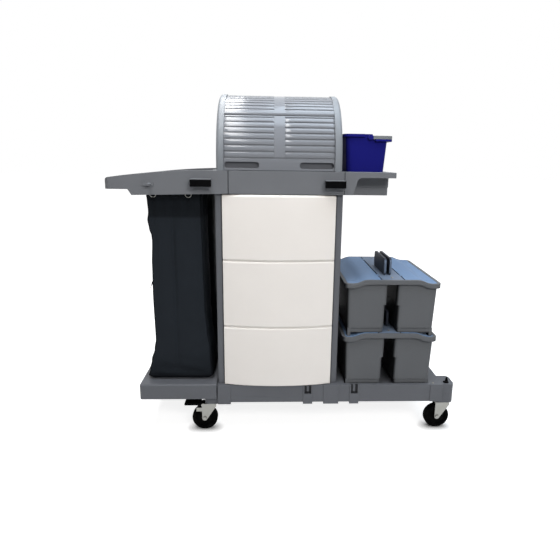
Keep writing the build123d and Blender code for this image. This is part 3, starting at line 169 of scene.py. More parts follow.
class Graph:
    """A node tree that is filled by calls."""

    def __init__(self, tree):
        self.tree = tree
        tree.nodes.clear()

    def node(self, kind, inputs=None, out=0, **settings):
        """Add a node: its settings first, then its sockets' values or links. Returns one of its outputs."""
        made = self.tree.nodes.new(kind)
        for name, value in settings.items():
            setattr(made, name, value)
        for key, value in (inputs or {}).items():
            socket = made.inputs[key]
            if isinstance(value, Wire):
                self.tree.links.new(value.socket, socket)
            else:
                socket.default_value = value
        return Wire(self, made.outputs[out]) if len(made.outputs) else made

    def mix(self, factor, first, second):
        """Mix two colours, which are the node's inputs 6 and 7 and its output 2."""
        inputs = {0: factor, 6: self.colour(first), 7: self.colour(second)}
        return self.node("ShaderNodeMix", inputs, out=2, data_type="RGBA", clamp_factor=True)

    @staticmethod
    def colour(value):
        """A colour with its alpha, or a link as it is."""
        if isinstance(value, Wire):
            return value
        return (*value[:3], 1.0)

    def grain(self, size, detail=2.0, finer=None):
        """Noise on Object coordinates whose features have about one size, or are finer along some axes."""
        place = self.node("ShaderNodeTexCoord", out="Object")
        if finer:
            place = self.node("ShaderNodeMapping", {"Vector": place, "Scale": finer})
        return self.node("ShaderNodeTexNoise", {"Vector": place, "Scale": 1 / size, "Detail": detail})

    def ramp(self, value, low, high):
        """A value spread from 0 at one level to 1 at another."""
        return self.node("ShaderNodeMapRange", {"Value": value, "From Min": low, "From Max": high})

    def patches(self, low, high, size, detail=2.0, finer=None):
        """Grain as patches: 0 where it is under one level, 1 where it is over another."""
        return self.ramp(self.grain(size, detail, finer), low, high)

    def place(self):
        """The place on the object: X, with Y and Z as its other outputs."""
        place = self.node("ShaderNodeTexCoord", out="Object")
        return self.node("ShaderNodeSeparateXYZ", {"Vector": place})

    def normal(self):
        """The surface's own normal."""
        return self.node("ShaderNodeNewGeometry", out="Normal")

    def facing(self):
        """The way the surface faces: X, with Y and Z as its other outputs."""
        return self.node("ShaderNodeSeparateXYZ", {"Vector": self.normal()})

    def soft_edge(self, radius):
        """The surface's normal with its edges rounded."""
        return self.node("ShaderNodeBevel", {"Radius": radius}, samples=4)

    def bump(self, height, depth, strength, normal):
        """A bumped normal from a height between 0 and 1."""
        inputs = {"Height": height, "Distance": depth, "Strength": strength, "Normal": normal}
        return self.node("ShaderNodeBump", inputs)

    def surface(self, **sockets):
        """The Principled shader and the output."""
        names = {key: key.replace("_", " ").title().replace("Ior", "IOR") for key in sockets}
        shader = self.node("ShaderNodeBsdfPrincipled", {names[key]: sockets[key] for key in sockets})
        self.node("ShaderNodeOutputMaterial", {"Surface": shader})


def new_material(name):
    """An empty node material and its graph."""
    material = bpy.data.materials.new(name)
    material.use_nodes = True
    return material, Graph(material.node_tree)


def tone(colour, gain, lift=0.0):
    """A colour made lighter or darker."""
    return tuple(min(1.0, gain * channel + lift) for channel in colour)


pale_plastic = (0.5, 0.5, 0.52)  # what rubbed and scuffed plastic turns towards
dull_plastic = (0.02, 0.02, 0.022)  # what its clouds turn towards
level_streaks = (1.0, 1.0, 12.0)  # finer upwards, so that streaks lie level
level_brushing = (1.0, 1.0, 9.0)
upright_hairs = (14.0, 1.0, 1.0)  # finer along the length, so that hairs stand upright


def moulded(graph, colour, sizes, rough, gloss, wear=0.22, depth=0.00006, round_by=1.0):
    """Moulded plastic: fine grain, faint clouds, light scuffs and a little wear on its rounded edges."""
    edge = graph.soft_edge(sizes.edge * round_by)
    inputs = {0: edge, 1: graph.normal()}
    turned = graph.node("ShaderNodeVectorMath", inputs, out="Value", operation="DOT_PRODUCT")
    rubbed = graph.ramp(1 - turned, 0.02, 0.3) * graph.patches(0.4, 0.65, size=0.012, detail=3)
    cloud = graph.grain(size=0.09, detail=3)
    streak = graph.patches(0.62, 0.74, size=0.004, detail=4, finer=level_streaks)
    scuff = streak * graph.patches(0.5, 0.7, size=0.05)
    light = graph.mix(0.5, colour, pale_plastic)
    body = graph.mix(cloud * 0.12, colour, dull_plastic)
    body = graph.mix(rubbed * wear, body, light)
    body = graph.mix(scuff * 0.1, body, light)
    normal = graph.bump(graph.grain(sizes.grain), depth, 1.0, edge)
    roughness = rough + (cloud - 0.5) * 0.12 + scuff * 0.1
    graph.surface(base_color=body, roughness=roughness, normal=normal, specular_ior_level=gloss)


def two_tone(graph, colour, second, sizes, where, rough=0.45, gloss=0.05, round_by=1.0):
    """Moulded plastic that takes a second colour in some places: the bail's blue eyes, and elsewhere painted
    shade.
    """
    tint = graph.mix(where(graph), colour, second)
    moulded(graph, tint, sizes, rough, gloss, wear=0.2, depth=0.00005, round_by=round_by)


joint_places = {joint["name"]: Vector(joint["pos_m"]) for joint in frame["joints"] if "pos_m" in joint}
turned_to = (-0.5, -0.9)  # part of a normal over which a wall comes to face left or forward
plate_bands = ((0.4225, 0.55), (0.6305, 0.75))  # heights of the lower and the upper handle plates
plate_edge_highlight = 0.85  # how much of the bridges' colour the upper plates' front edges take, as a painted highlight
bail_pivot = joint_places["bail_swing"]
bail_eye = 0.0105  # radius of the bail's eyes
deck_seam = 0.0014  # half of a seam's width
deck_seam_places = [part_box(node)[0][0] for node in ("centre_deck", "right_deck")]
pocket_places = (0.0715, 0.2505)  # middles of the latch pockets along the base's front
pocket_half, tongue_half = 0.0134, 0.0042  # half widths of a pocket and of its tongue
pocket_low, tongue_low = 0.1795, 0.188  # their lower edges
pocket_mouth, pocket_wall = -0.2645, -0.2545  # front and back of what counts as inside a pocket


def shaded_plates_lit_edges(graph):
    """1 on the mop boxes' handle plates, where painted shade goes, less on the upper ones' front edges,
    which take the bridges' colour as a painted highlight, and 0 on their bridges.
    """
    height = graph.place().of("Z")
    lower, upper = [
        height.math("GREATER_THAN", low) * height.math("LESS_THAN", high) for low, high in plate_bands]
    edge = graph.ramp(graph.facing().of("Y"), *turned_to)
    return lower + upper * (1 - edge * plate_edge_highlight)


def bail_eyes(graph):
    """1 on the bail's eyes, round its pivot, and 0 elsewhere."""
    place = graph.place()
    across = place - bail_pivot.x
    rise = place.of("Z") - bail_pivot.z
    return (across * across + rise * rise).math("LESS_THAN", bail_eye ** 2)


def shaded_gap_walls(graph):
    """1 on the bins' walls that look at the cabinet or at the bin beside them, where the painted shade goes,
    and 0 elsewhere.
    """
    return graph.ramp(graph.facing(), *turned_to)


def shaded_deck_seams(graph):
    """1 in the seams between the deck's three mouldings, where painted shade goes, and 0 elsewhere."""
    across = graph.place()
    seams = [(across - place).math("ABSOLUTE").math("LESS_THAN", deck_seam) for place in deck_seam_places]
    return seams[0] + seams[1]


def shaded_latch_pockets(graph):
    """1 inside the latch pockets of the base, beside and below their tongues, where painted shade goes, and
    0 elsewhere.
    """
    place = graph.place()
    deep = place.of("Y")
    inside = deep.math("GREATER_THAN", pocket_mouth) * deep.math("LESS_THAN", pocket_wall)
    height = place.of("Z")
    inside = inside * height.math("GREATER_THAN", pocket_low)
    below = height.math("LESS_THAN", tongue_low)
    apart = [(place - centre).math("ABSOLUTE") for centre in pocket_places]
    clear = [run.math("GREATER_THAN", tongue_half).math("MAXIMUM", below) for run in apart]
    beside = [run.math("LESS_THAN", pocket_half) * open_there for run, open_there in zip(apart, clear)]
    return inside * (beside[0] + beside[1])


def glossy(graph, colour, sizes, rough, gloss, ripple=0.00002):
    """Smooth plastic with a slight ripple, faint cloudiness and hairline scratches."""
    edge = graph.soft_edge(sizes.edge)
    cloud = graph.grain(size=0.12, detail=3)
    hair = graph.patches(0.66, 0.74, size=0.0025, detail=3, finer=upright_hairs)
    hair = hair * graph.patches(0.5, 0.66, size=0.06)
    body = graph.mix(cloud, tone(colour, gain=0.95), colour)
    body = graph.mix(hair * 0.12, body, tone(colour, gain=1.3, lift=0.02))
    normal = graph.bump(graph.grain(size=0.006), ripple, 0.5, edge)
    roughness = rough + (cloud - 0.5) * 0.08 + hair * 0.15
    graph.surface(base_color=body, roughness=roughness, normal=normal, specular_ior_level=gloss)


def plated_steel(graph, colour, sizes):
    """Zinc-plated steel: fine directional brushing and a clouded tint."""
    edge = graph.soft_edge(sizes.edge * 0.5)
    brush = graph.grain(size=0.0012, detail=3, finer=level_brushing)
    cloud = graph.grain(size=0.02, detail=4)
    warmer = (colour[0], colour[1] * 0.98, colour[2] * 0.93)
    body = graph.mix(cloud, colour, warmer)
    normal = graph.bump(brush, 0.00005, 0.6, edge)
    roughness = 0.3 + brush * 0.16 + (cloud - 0.5) * 0.14
    graph.surface(base_color=body, metallic=1.0, roughness=roughness, normal=normal)


def rubber(graph, colour, sizes, dust=0.04):
    """Matt rubber with a fine grain and patches of dust."""
    edge = graph.soft_edge(sizes.edge)
    patch = graph.patches(0.45, 0.75, size=0.018, detail=4)
    body = graph.mix(patch * dust, colour, tone(colour, gain=1.0, lift=0.05))
    normal = graph.bump(graph.grain(size=0.0009), 0.00008, 0.8, edge)
    graph.surface(base_color=body, roughness=0.62 + patch * 0.18, normal=normal, specular_ior_level=0.02)


deck_shadow_heights = (0.842, 0.852)  # heights over which the cloth's top band darkens: painted shadow of the deck above
foot_shade_heights = (0.33, 0.225)  # heights over which it darkens towards its foot, as painted shade


def woven_cloth(graph, colour, sizes, thread=0.0024):
    """Coated woven nylon: crossing threads, soft creases, worn patches, and a top and foot darkened as
    painted shade.
    """
    place = graph.place()
    turns = 2 * math.pi / thread
    warp = ((place + place.of("Y")) * turns).math("SINE")
    weft = (place.of("Z") * turns).math("SINE")
    weave = warp * weft * 0.5 + 0.5
    patch = graph.patches(0.4, 0.7, size=0.07, detail=4)
    body = graph.mix(weave * 0.35, tone(colour, gain=0.9), tone(colour, gain=1.35))
    body = graph.mix(patch * 0.2, body, tone(colour, gain=1.5))
    # Painted shadow of the deck on the top band and painted shade at the foot
    painted_shade = graph.ramp(place.of("Z"), *deck_shadow_heights) * 0.6 + graph.ramp(place.of("Z"), *foot_shade_heights) * 0.4
    body = graph.mix(painted_shade, body, tone(colour, gain=0.2))
    crumple = graph.bump(graph.grain(size=0.03, detail=3), 0.0015, 0.3, graph.normal())
    normal = graph.bump(weave, 0.0002, 0.5, crumple)
    graph.surface(base_color=body, roughness=0.66 + patch * 0.12, normal=normal, specular_ior_level=0.06)


finish_kinds = {  # label, maker and options of each finish
    "deck": ("Deck plastic", two_tone, {"where": shaded_deck_seams, "rough": 0.5, "gloss": 0.2}),
    "base": ("Base plastic", two_tone, {"where": shaded_latch_pockets, "rough": 0.5, "gloss": 0.25}),
    "drawers": ("Drawer plastic", glossy, {"rough": 0.36, "gloss": 0.35}),
    "hood": ("Hood plastic", glossy, {"rough": 0.12, "gloss": 0.5, "ripple": 0.000003}),
    "cheeks": ("Cheek plastic", moulded, {"rough": 0.42, "gloss": 0.3}),
    "bag": ("Bag cloth", woven_cloth, {}),
    "webbing": ("Bag webbing", woven_cloth, {"thread": 0.0012}),
    "bins": ("Bin plastic", two_tone, {"where": shaded_gap_walls, "round_by": 4.5}),
    "tubs": ("Tub plastic", moulded, {"rough": 0.5, "gloss": 0.25}),
    "lids": ("Lid plastic", glossy, {"rough": 0.45, "gloss": 0.03}),
    "bucket": ("Bucket plastic", glossy, {"rough": 0.5, "gloss": 0.03}),
    "bail": ("Bail plastic", two_tone, {"where": bail_eyes}),
    "handles": ("Bridge plastic", two_tone, {"where": shaded_plates_lit_edges}),
    "rubber": ("Black rubber", rubber, {}),
    "tyre": ("Tyre rubber", rubber, {"dust": 0.1}),
    "zinc": ("Plated steel", plated_steel, {}),
}
finish_tints = {  # colours of the finishes that take others than the one of their name
    "deck": ("deck", "seams"),
    "base": ("base", "seams"),
    "bins": ("bins", "gap_shade"),
    "tubs": ("bins",),
    "bail": ("bail", "bucket"),
    "handles": ("bridges", "handles"),
}
finish_nodes = {  # nodes of each finish, without the wheels and what is plated steel
    "deck": ("bag_frame", "centre_deck", "right_deck", "tool_clip_brackets", "sign_hook"),
    # The hood's grip cups take the base's darker colour as painted shade in the finger recesses
    "base": ("base_platform", "bag_tray", "side_panel_left", "side_panel_right", "back_panel",
             "hood_grip_cups"),
    "drawers": ("drawer_front_bottom", "drawer_front_middle", "drawer_front_top"),
    "tubs": ("drawer_tub_bottom", "drawer_tub_middle", "drawer_tub_top"),
    "bins": ("lower_box", "upper_box"),
    "hood": ("hood_rear_shell", "hood_cover"),
    "cheeks": ("hood_cheek_left", "hood_cheek_right"),
    "bag": ("laundry_bag",),
    "lids": ("lower_box_lid_left", "lower_box_lid_right", "upper_box_lid_left", "upper_box_lid_right"),
    "handles": ("lower_box_bridge", "upper_box_bridge"),
    "bucket": ("small_bucket",),
    "bail": ("bucket_bail",),
    "rubber": ("tool_clip_pads", "stem_caps", "brake_pedal_front_left", "brake_pedal_rear_left"),
}


def finish(key):
    """A finish by its key, made on first use."""
    scene = bpy.context.scene
    label, make, options = finish_kinds[key]
    material = bpy.data.materials.get(label)
    if not material:
        material, graph = new_material(label)
        tints = [getattr(scene.trolley_colours, name) for name in finish_tints.get(key, (key,))]
        make(graph, *tints, scene.trolley_sizes, **options)
    return material


class TROLLEY_OT_finishes(bpy.types.Operator):
    """Give every piece of the frame its finish"""

    bl_idname = "trolley.finishes"
    bl_label = "Finish the frame"

    def execute(self, context):
        by_node = {node: key for key, nodes in finish_nodes.items() for node in nodes}
        for node, piece in frame["nodes"].items():
            default = "tyre" if node.startswith("caster_wheel") else "zinc"
            piece.data.materials.clear()
            piece.data.materials.append(finish(by_node.get(node, default)))
        return {"FINISHED"}


def add_piece(name, mesh, key=None):
    """Link a mesh to the scene as an object, in a finish where its key is given."""
    if key:
        mesh.materials.append(finish(key))
    piece = bpy.data.objects.new(name, mesh)
    bpy.context.scene.collection.objects.link(piece)
    return piece


def add_sheet(name, points, faces, key, thickness):
    """A smooth sheet of points and faces that gets its thickness inwards from its outside."""
    mesh = bpy.data.meshes.new(name)
    mesh.from_pydata(points, [], faces)
    mesh.shade_smooth()
    piece = add_piece(name, mesh, key)
    shell = piece.modifiers.new("Cloth", "SOLIDIFY")
    shell.thickness = thickness
    shell.offset = -1
    return piece


def soften(mesh, angle):
    """Shade a mesh smooth, apart from edges that turn by more than an angle in degrees."""
    mesh.shade_smooth()
    mesh.set_sharp_from_angle(angle=math.radians(angle))


def settle(piece, body="chassis"):
    """Let a finished piece ride on a body."""
    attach(piece, body)
    return piece


def seed_mesh(name, paths):
    """Points with a facing each, joined along each path, as a tree's seed. A path says whether it closes."""
    places, facings, edges = [], [], []
    for path, closed in paths:
        start = len(places)
        places += [place for place, facing in path]
        facings += [facing for place, facing in path]
        edges += [(start + i, start + i + 1) for i in range(len(path) - 1)]
        if closed:
            edges.append((len(places) - 1, start))
    mesh = bpy.data.meshes.new(name)
    mesh.from_pydata(places, edges, [])
    attribute = mesh.attributes.new("facing", "FLOAT_VECTOR", "POINT")
    attribute.data.foreach_set("vector", [value for facing in facings for value in facing])
    return mesh


def grow(name, paths, tree, key, body="chassis", smooth=None, **values):
    """Run a geometry tree on paths, keep what it makes as a plain mesh and settle it on a body."""
    piece = add_piece(name, seed_mesh(name, paths))
    modifier = piece.modifiers.new("Tree", "NODES")
    modifier.node_group = tree
    values["Material"] = finish(key)
    for item in tree.interface.items_tree:
        if item.in_out == "INPUT" and item.name in values:
            modifier[item.identifier] = values[item.name]
    mesh = bpy.data.meshes.new_from_object(piece.evaluated_get(bpy.context.evaluated_depsgraph_get()))
    if not mesh.polygons:
        raise RuntimeError(f"{name} came out empty")
    piece.modifiers.clear()
    piece.data = mesh
    if smooth is not None:
        soften(mesh, smooth)
    return settle(piece, body)


def geometry_tree(name, **sockets):
    """A geometry tree with named inputs. Returns the tree, its graph and a lookup of its inputs."""
    tree = bpy.data.node_groups.new(name, "GeometryNodeTree")
    tree.interface.new_socket("Geometry", in_out="OUTPUT", socket_type="NodeSocketGeometry")
    tree.interface.new_socket("Geometry", in_out="INPUT", socket_type="NodeSocketGeometry")
    for label, kind in sockets.items():
        tree.interface.new_socket(label, in_out="INPUT", socket_type="NodeSocket" + kind)
    graph = Graph(tree)
    return tree, graph, graph.node("NodeGroupInput").of


def close_tree(graph, shape, material):
    """End a geometry tree with real geometry in one material."""
    real = graph.node("GeometryNodeRealizeInstances", {"Geometry": shape})
    real = graph.node("GeometryNodeSetMaterial", {"Geometry": real, "Material": material})
    graph.node("NodeGroupOutput", {"Geometry": real})


def close_with_copies(graph, points, shape, turn, material):
    """End a geometry tree with a copy of a shape on each point."""
    inputs = {"Points": points, "Instance": shape, "Rotation": turn}
    close_tree(graph, graph.node("GeometryNodeInstanceOnPoints", inputs), material)


def facing_turn(graph, tangent=None):
    """A rotation that turns Z to the seed's facing, and X along a direction where one is given."""
    align = "FunctionNodeAlignRotationToVector"
    facing = graph.node("GeometryNodeInputNamedAttribute", {"Name": "facing"}, data_type="FLOAT_VECTOR")
    if tangent is None:
        return graph.node(align, {"Vector": facing}, axis="Z")
    turn = graph.node(align, {"Vector": tangent}, axis="X")
    return graph.node(align, {"Rotation": turn, "Vector": facing}, axis="Z", pivot_axis="X")


def row_tree():
    """Small blocks in a row along a path: stitches, zip teeth or grip ribs."""
    tree, graph, given = geometry_tree("Row", Spacing="Float", Size="Vector", Material="Material")
    line = graph.node("GeometryNodeMeshToCurve", {"Mesh": given("Geometry")})
    inputs = {"Curve": line, "Length": given("Spacing")}
    line = graph.node("GeometryNodeResampleCurve", inputs, mode="LENGTH")
    block = graph.node("GeometryNodeMeshCube", {"Size": given("Size")})
    turn = facing_turn(graph, graph.node("GeometryNodeInputTangent"))
    close_with_copies(graph, line, block, turn, given("Material"))
    return tree


cord_sides = 7
cord_smooth = 60  # degrees past which a cord's edges stay sharp


def piping_tree():
    """A round cord along a path."""
    tree, graph, given = geometry_tree("Piping", Radius="Float", Material="Material")
    line = graph.node("GeometryNodeMeshToCurve", {"Mesh": given("Geometry")})
    inputs = {"Resolution": cord_sides, "Radius": given("Radius")}
    ring = graph.node("GeometryNodeCurvePrimitiveCircle", inputs)
    inputs = {"Curve": line, "Profile Curve": ring, "Fill Caps": True}
    close_tree(graph, graph.node("GeometryNodeCurveToMesh", inputs), given("Material"))
    return tree


slat_sunk = 0.0005  # how far a slat's underside lies below the hood's surface
slat_lap = 0.0002  # how far its upper edges lie below it
slat_points = 6  # points along and across a slat
slat_bunch = 3.8  # power by which the points along it crowd towards its ends
slat_end = 0.999  # share of its half length past which it isn't crowned


def slat_tree():
    """Low crowned slats, one above another round an axis, with a seed point on it for each column."""
    tree, graph, given = geometry_tree("Slats", Count="Int", First="Float", Step="Float", Radius="Float",
                                       Length="Float", Width="Float", Crown="Float", Material="Material")
    inputs = {"Geometry": given("Geometry"), "Amount": given("Count")}
    copies = graph.node("GeometryNodeDuplicateElements", inputs, domain="POINT")
    angle = copies.of("Duplicate Index") * given("Step") + given("First")
    inputs = {"Y": angle.math("COSINE") * given("Radius") * -1, "Z": angle.math("SINE") * given("Radius")}
    out = graph.node("ShaderNodeCombineXYZ", inputs)
    points = graph.node("GeometryNodeSetPosition", {"Geometry": copies, "Offset": out})
    inputs = {"X": given("Length"), "Y": given("Width"), "Z": 2 * slat_sunk}
    size = graph.node("ShaderNodeCombineXYZ", inputs)
    inputs = {"Size": size, "Vertices X": slat_points, "Vertices Y": slat_points}
    bar = graph.node("GeometryNodeMeshCube", inputs)
    place = graph.node("ShaderNodeSeparateXYZ", {"Vector": graph.node("GeometryNodeInputPosition")})
    half = given("Length") * 0.5
    share = place.math("ABSOLUTE") / half
    run = place.math("SIGN") * half * (1 - (1 - share) ** slat_bunch)
    across = place.of("Y") / (given("Width") * 0.5)
    top = place.of("Z").math("GREATER_THAN", 0)
    rise = given("Crown") * (1 - across * across) * share.math("LESS_THAN", slat_end) - slat_lap
    level = top * rise + (1 - top) * place.of("Z")
    shaped = graph.node("ShaderNodeCombineXYZ", {"X": run, "Y": place.of("Y"), "Z": level})
    bar = graph.node("GeometryNodeSetPosition", {"Geometry": bar, "Position": shaped})
    turn = graph.node("ShaderNodeCombineXYZ", {"X": math.pi / 2 - angle})
    close_with_copies(graph, points, bar, turn, given("Material"))
    return tree


screw_sides = 12
screw_steps = ((0.45, 0.86), (0.0, 0.62), (-0.3, 1.0))  # rise in radii and scale of head, rim and socket


def screw_tree():
    """Socket-head screws that face out of a surface."""
    tree, graph, given = geometry_tree("Screws", Radius="Float", Material="Material")
    radius = given("Radius")
    inputs = {"Vertices": screw_sides, "Radius": radius}
    head = graph.node("GeometryNodeMeshCircle", inputs, fill_type="NGON")
    top = None
    for rise, scale in screw_steps:
        inputs = {"Mesh": head, "Offset Scale": radius * rise}
        if top:
            inputs["Selection"] = top
        head = graph.node("GeometryNodeExtrudeMesh", inputs)
        top = head.of("Top")
        inputs = {"Geometry": head, "Selection": top, "Scale": scale}
        head = graph.node("GeometryNodeScaleElements", inputs)
    close_with_copies(graph, given("Geometry"), head, facing_turn(graph), given("Material"))
    return tree


shape_smooth = 35  # degrees past which the edges of slats and lips stay sharp


def prism(name, rings, key):
    """A closed piece through rings of points."""
    shape = bmesh.new()
    loops = [[shape.verts.new(point) for point in ring] for ring in rings]
    shape.faces.new(loops[0])
    shape.faces.new(loops[-1])
    for first, second in zip(loops, loops[1:]):
        for i in range(len(first)):
            shape.faces.new((first[i - 1], first[i], second[i], second[i - 1]))
    bmesh.ops.recalc_face_normals(shape, faces=shape.faces)
    mesh = bpy.data.meshes.new(name)
    shape.to_mesh(mesh)
    shape.free()
    soften(mesh, shape_smooth)
    return add_piece(name, mesh, key)


facing_up, facing_back = (0, 0, 1), (0, 1, 0)
hood_axis = joint_places["hood_roll"]
slat_columns = (-0.10675, 0.10675)  # from the hood's middle
slat_length = 0.1735
slat_rows = (  # piece, body, count, first and step in degrees, radius, width, crown's share
    ("hood_cover_slats", "hood_cover", 7, 6.835, 5.17, 0.2464, 0.0166, 1.0),
    ("hood_shell_slats", "chassis", 27, 46.45, 4.7, 0.2517, 0.015, 0.4),
)
lip_section = (  # degrees above level and radius, from the shell's edge round the lip
    (44.08, 0.2517), (43.6, 0.2512), (43.05, 0.2496), (42.5, 0.24785), (42.5, 0.24772), (44.08, 0.24772),
)


class TROLLEY_OT_slats(bpy.types.Operator):
    """Crown the hood's slats between their grooves, and give the rear shell's front edge a wiper lip"""

    bl_idname = "trolley.slats"
    bl_label = "Crown the hood slats"

    def execute(self, context):
        full_crown = context.scene.trolley_sizes.slat_crown
        tree = slat_tree()
        columns = [([(hood_axis + Vector((x, 0, 0)), facing_up)], False) for x in slat_columns]
        for name, body, count, first, step, radius, width, crown in slat_rows:
            grow(name, columns, tree, "hood", body, shape_smooth, Count=count, First=math.radians(first),
                 Step=math.radians(step), Radius=radius, Length=slat_length, Width=width,
                 Crown=crown * full_crown)
        settle(self.lip())
        return {"FINISHED"}

    @staticmethod
    def lip():
        section = []
        for angle, radius in lip_section:
            turn = math.radians(angle)
            section.append((hood_axis.y - radius * math.cos(turn), hood_axis.z + radius * math.sin(turn)))
        rings = [[(end.x, y, z) for y, z in section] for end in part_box("hood_rear_shell")]
        return prism("hood_shell_lip", rings, "hood")


seam_drawers = ("middle", "top")  # drawers whose lower edge closes on another drawer
drawer_bow = 0.022  # how far a front bows out in its middle
drawer_lip_back = (0.002, 0.005)  # lip's faces behind the bowed front
drawer_lip_rise = (-0.0026, 0.0001)  # lip's edges above the front's lower edge
drawer_lip_parts = 48


class TROLLEY_OT_drawer_lips(bpy.types.Operator):
    """Give the upper drawers a lip that closes the seam to the drawer below"""

    bl_idname = "trolley.drawer_lips"
    bl_label = "Close the drawer seams"

    def execute(self, context):
        for name in seam_drawers:
            low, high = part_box(f"drawer_front_{name}")
            half = (high.x - low.x) / 2
            radius = (half ** 2 + drawer_bow ** 2) / (2 * drawer_bow)
            reach = half - drawer_lip_back[0]
            under, over = [low.z + rise for rise in drawer_lip_rise]
            rings = []
            for i in range(drawer_lip_parts + 1):
                run = reach * (2 * i / drawer_lip_parts - 1)
                front = low.y + radius - math.sqrt(radius ** 2 - run ** 2)
                near, far = [front + back for back in drawer_lip_back]
                x = low.x + half + run
                rings.append([(x, near, under), (x, far, under), (x, far, over), (x, near, over)])
            settle(prism(f"drawer_lip_{name}", rings, "drawers"), f"drawer_{name}")
        return {"FINISHED"}


bag_low, bag_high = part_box("laundry_bag")
bag_corner = 0.012  # radius of the bag's upright edges
bag_foot = 0.02  # rounding of its lower edge
bag_hem = 0.917  # lower edge of the hem
bag_hem_lap = 0.0009  # how far the hem stands proud
bag_foot_rows, bag_hem_rows = 5, 6  # rows of faces up the rounding and the hem
bag_floor_rings = (0.75, 0.5, 0.25)  # sizes of the floor's rings
bag_columns = (34, 6, 40, 6, 34, 6, 40, 6)  # faces along each wall and corner
bag_left = (  # height and place of the front's left edge
    (0.232, -0.5425), (0.257, -0.5375), (0.298, -0.5295), (0.339, -0.5175), (0.380, -0.511),
    (0.557, -0.513), (0.671, -0.511), (0.764, -0.5065), (0.778, -0.5075), (0.807, -0.515),
    (0.836, -0.5195), (0.865, -0.5155), (0.925, -0.5185),
)
bag_right = (  # height and place of the front's right edge
    (0.231, -0.297), (0.339, -0.302), (0.420, -0.311), (0.499, -0.317), (0.653, -0.320), (0.927, -0.3235),
)
bag_margin = 0.12  # share of a wall beside its corners over which its folds fade out
bag_free = ((0.235, 0.32), (0.86, 0.925))  # heights over which the cloth comes free and is held again
bag_waves = ((0.0022, 11, 6, 3.1), (0.0007, 34, 19, 0.0))  # depth, rate across, rate upwards and seed
bag_pleats = (0.0022, 150, 5)  # depth, rate across and rate upwards of the pleats below the rail
bag_pleats_rise = ((0.76, 0.9), (0.915, 0.94))  # heights over which they come and go
bag_puckers = (0.0016, 25, 130)  # depth, rate across and rate upwards of the puckers above the tray
bag_puckers_rise = (0.25, 0.36)  # heights over which they go
bag_crease_x = -0.428
bag_crease_rise = (0.24, 0.3)  # heights over which the crease comes
bag_crease_half = 0.006
bag_panels = (0.085, 0.108)  # widths that billow left and right of the crease
bag_billow, bag_side_billow = 0.005, 0.006
bag_gusset_half = 0.06


def eased(low, high, value):
    """A smooth step from 0 at one level to 1 at another."""
    share = min(1.0, max(0.0, (value - low) / (high - low)))
    return share * share * (3 - 2 * share)


def along(knots, height):
    """A smooth value between knots of height and value."""
    if height >= knots[-1][0]:
        return knots[-1][1]
    for (low, first), (high, second) in zip(knots, knots[1:]):
        if height < high:
            return first + (second - first) * eased(low, high, height)


def bell(distance, half):
    """1 at no distance, falling smoothly to a third at a half width."""
    return math.exp(-(distance / half) ** 2)


def rippled(shape, run, height):
    """A regular wave of a depth, a rate across and a rate upwards."""
    depth, across, upwards = shape
    return depth * math.sin(run * across + height * upwards)


def bag_plan(section, share, left, right, near, far):
    """Place and outward direction on the bag's plan, whose walls and corners are counted from the front."""
    near_left = Vector((left + bag_corner, near + bag_corner, 0))
    far_right = Vector((right - bag_corner, far - bag_corner, 0))
    near_right = Vector((far_right.x, near_left.y, 0))
    far_left = Vector((near_left.x, far_right.y, 0))
    centres = (near_left, near_right, far_right, far_left)
    wall, corner = divmod(section, 2)
    start, end = centres[wall], centres[(wall + 1) % 4]
    angle = math.radians(90 * (wall - 1 + share * corner))
    out = Vector((math.cos(angle), math.sin(angle), 0))
    return (end if corner else start.lerp(end, share)) + bag_corner * out, out


def bag_push(section, share, place, height, sizes):
    """How far the cloth stands out of its plan: waves, pleats, puckers, billows, crease and side folds."""
    if section % 2:
        return 0.0
    inside = eased(0, bag_margin, share) * eased(0, bag_margin, 1 - share)
    free = eased(*bag_free[0], height) * (1 - eased(*bag_free[1], height))
    pleated = eased(*bag_pleats_rise[0], height) * (1 - eased(*bag_pleats_rise[1], height))
    puckered = 1 - eased(*bag_puckers_rise, height)
    run = place.x if section in (0, 4) else place.y
    push = pleated * rippled(bag_pleats, run, height) + puckered * rippled(bag_puckers, run, height)
    for depth, across, upwards, seed in bag_waves:
        push += depth * noise.noise(Vector((run * across, height * upwards, section + seed)))
    if section in (0, 4):
        from_crease = run - bag_crease_x
        panel = bag_panels[0] if from_crease < 0 else bag_panels[1]
        push += bag_billow * free * abs(math.sin(math.pi * min(1.0, abs(from_crease) / panel)))
        depth = sizes.crease * (0.75 + 0.25 * math.sin(11 * height))
        push -= depth * eased(*bag_crease_rise, height) * bell(from_crease, bag_crease_half)
    else:
        middle = (bag_low.y + bag_high.y) / 2
        push -= sizes.gusset * free * bell(run - middle, bag_gusset_half)
        push += bag_side_billow * free * math.sin(2 * math.pi * share) ** 2
    return push * inside


def bag_point(section, share, height, sizes, inset=0.0, proud=0.0):
    """A point of the bag's outside and its outward direction."""
    left, right = along(bag_left, height) + inset, along(bag_right, height) - inset
    place, out = bag_plan(section, share, left, right, bag_low.y + inset, bag_high.y - inset)
    place += (bag_push(section, share, place, height, sizes) + proud) * out
    return Vector((place.x, place.y, height)), out


def bag_ring(height, sizes, inset=0.0, proud=0.0):
    """Points round the bag at a height, counted against the clock from its front's left end."""
    ring = []
    for section, count in enumerate(bag_columns):
        ring += [bag_point(section, i / count, height, sizes, inset, proud) for i in range(count)]
    return ring


def band(lower, upper, size):
    """Faces between two closed rows of points, by the numbers of their first points."""
    pairs = [(i, (i + 1) % size) for i in range(size)]
    return [(lower + i, lower + j, upper + j, upper + i) for i, j in pairs]


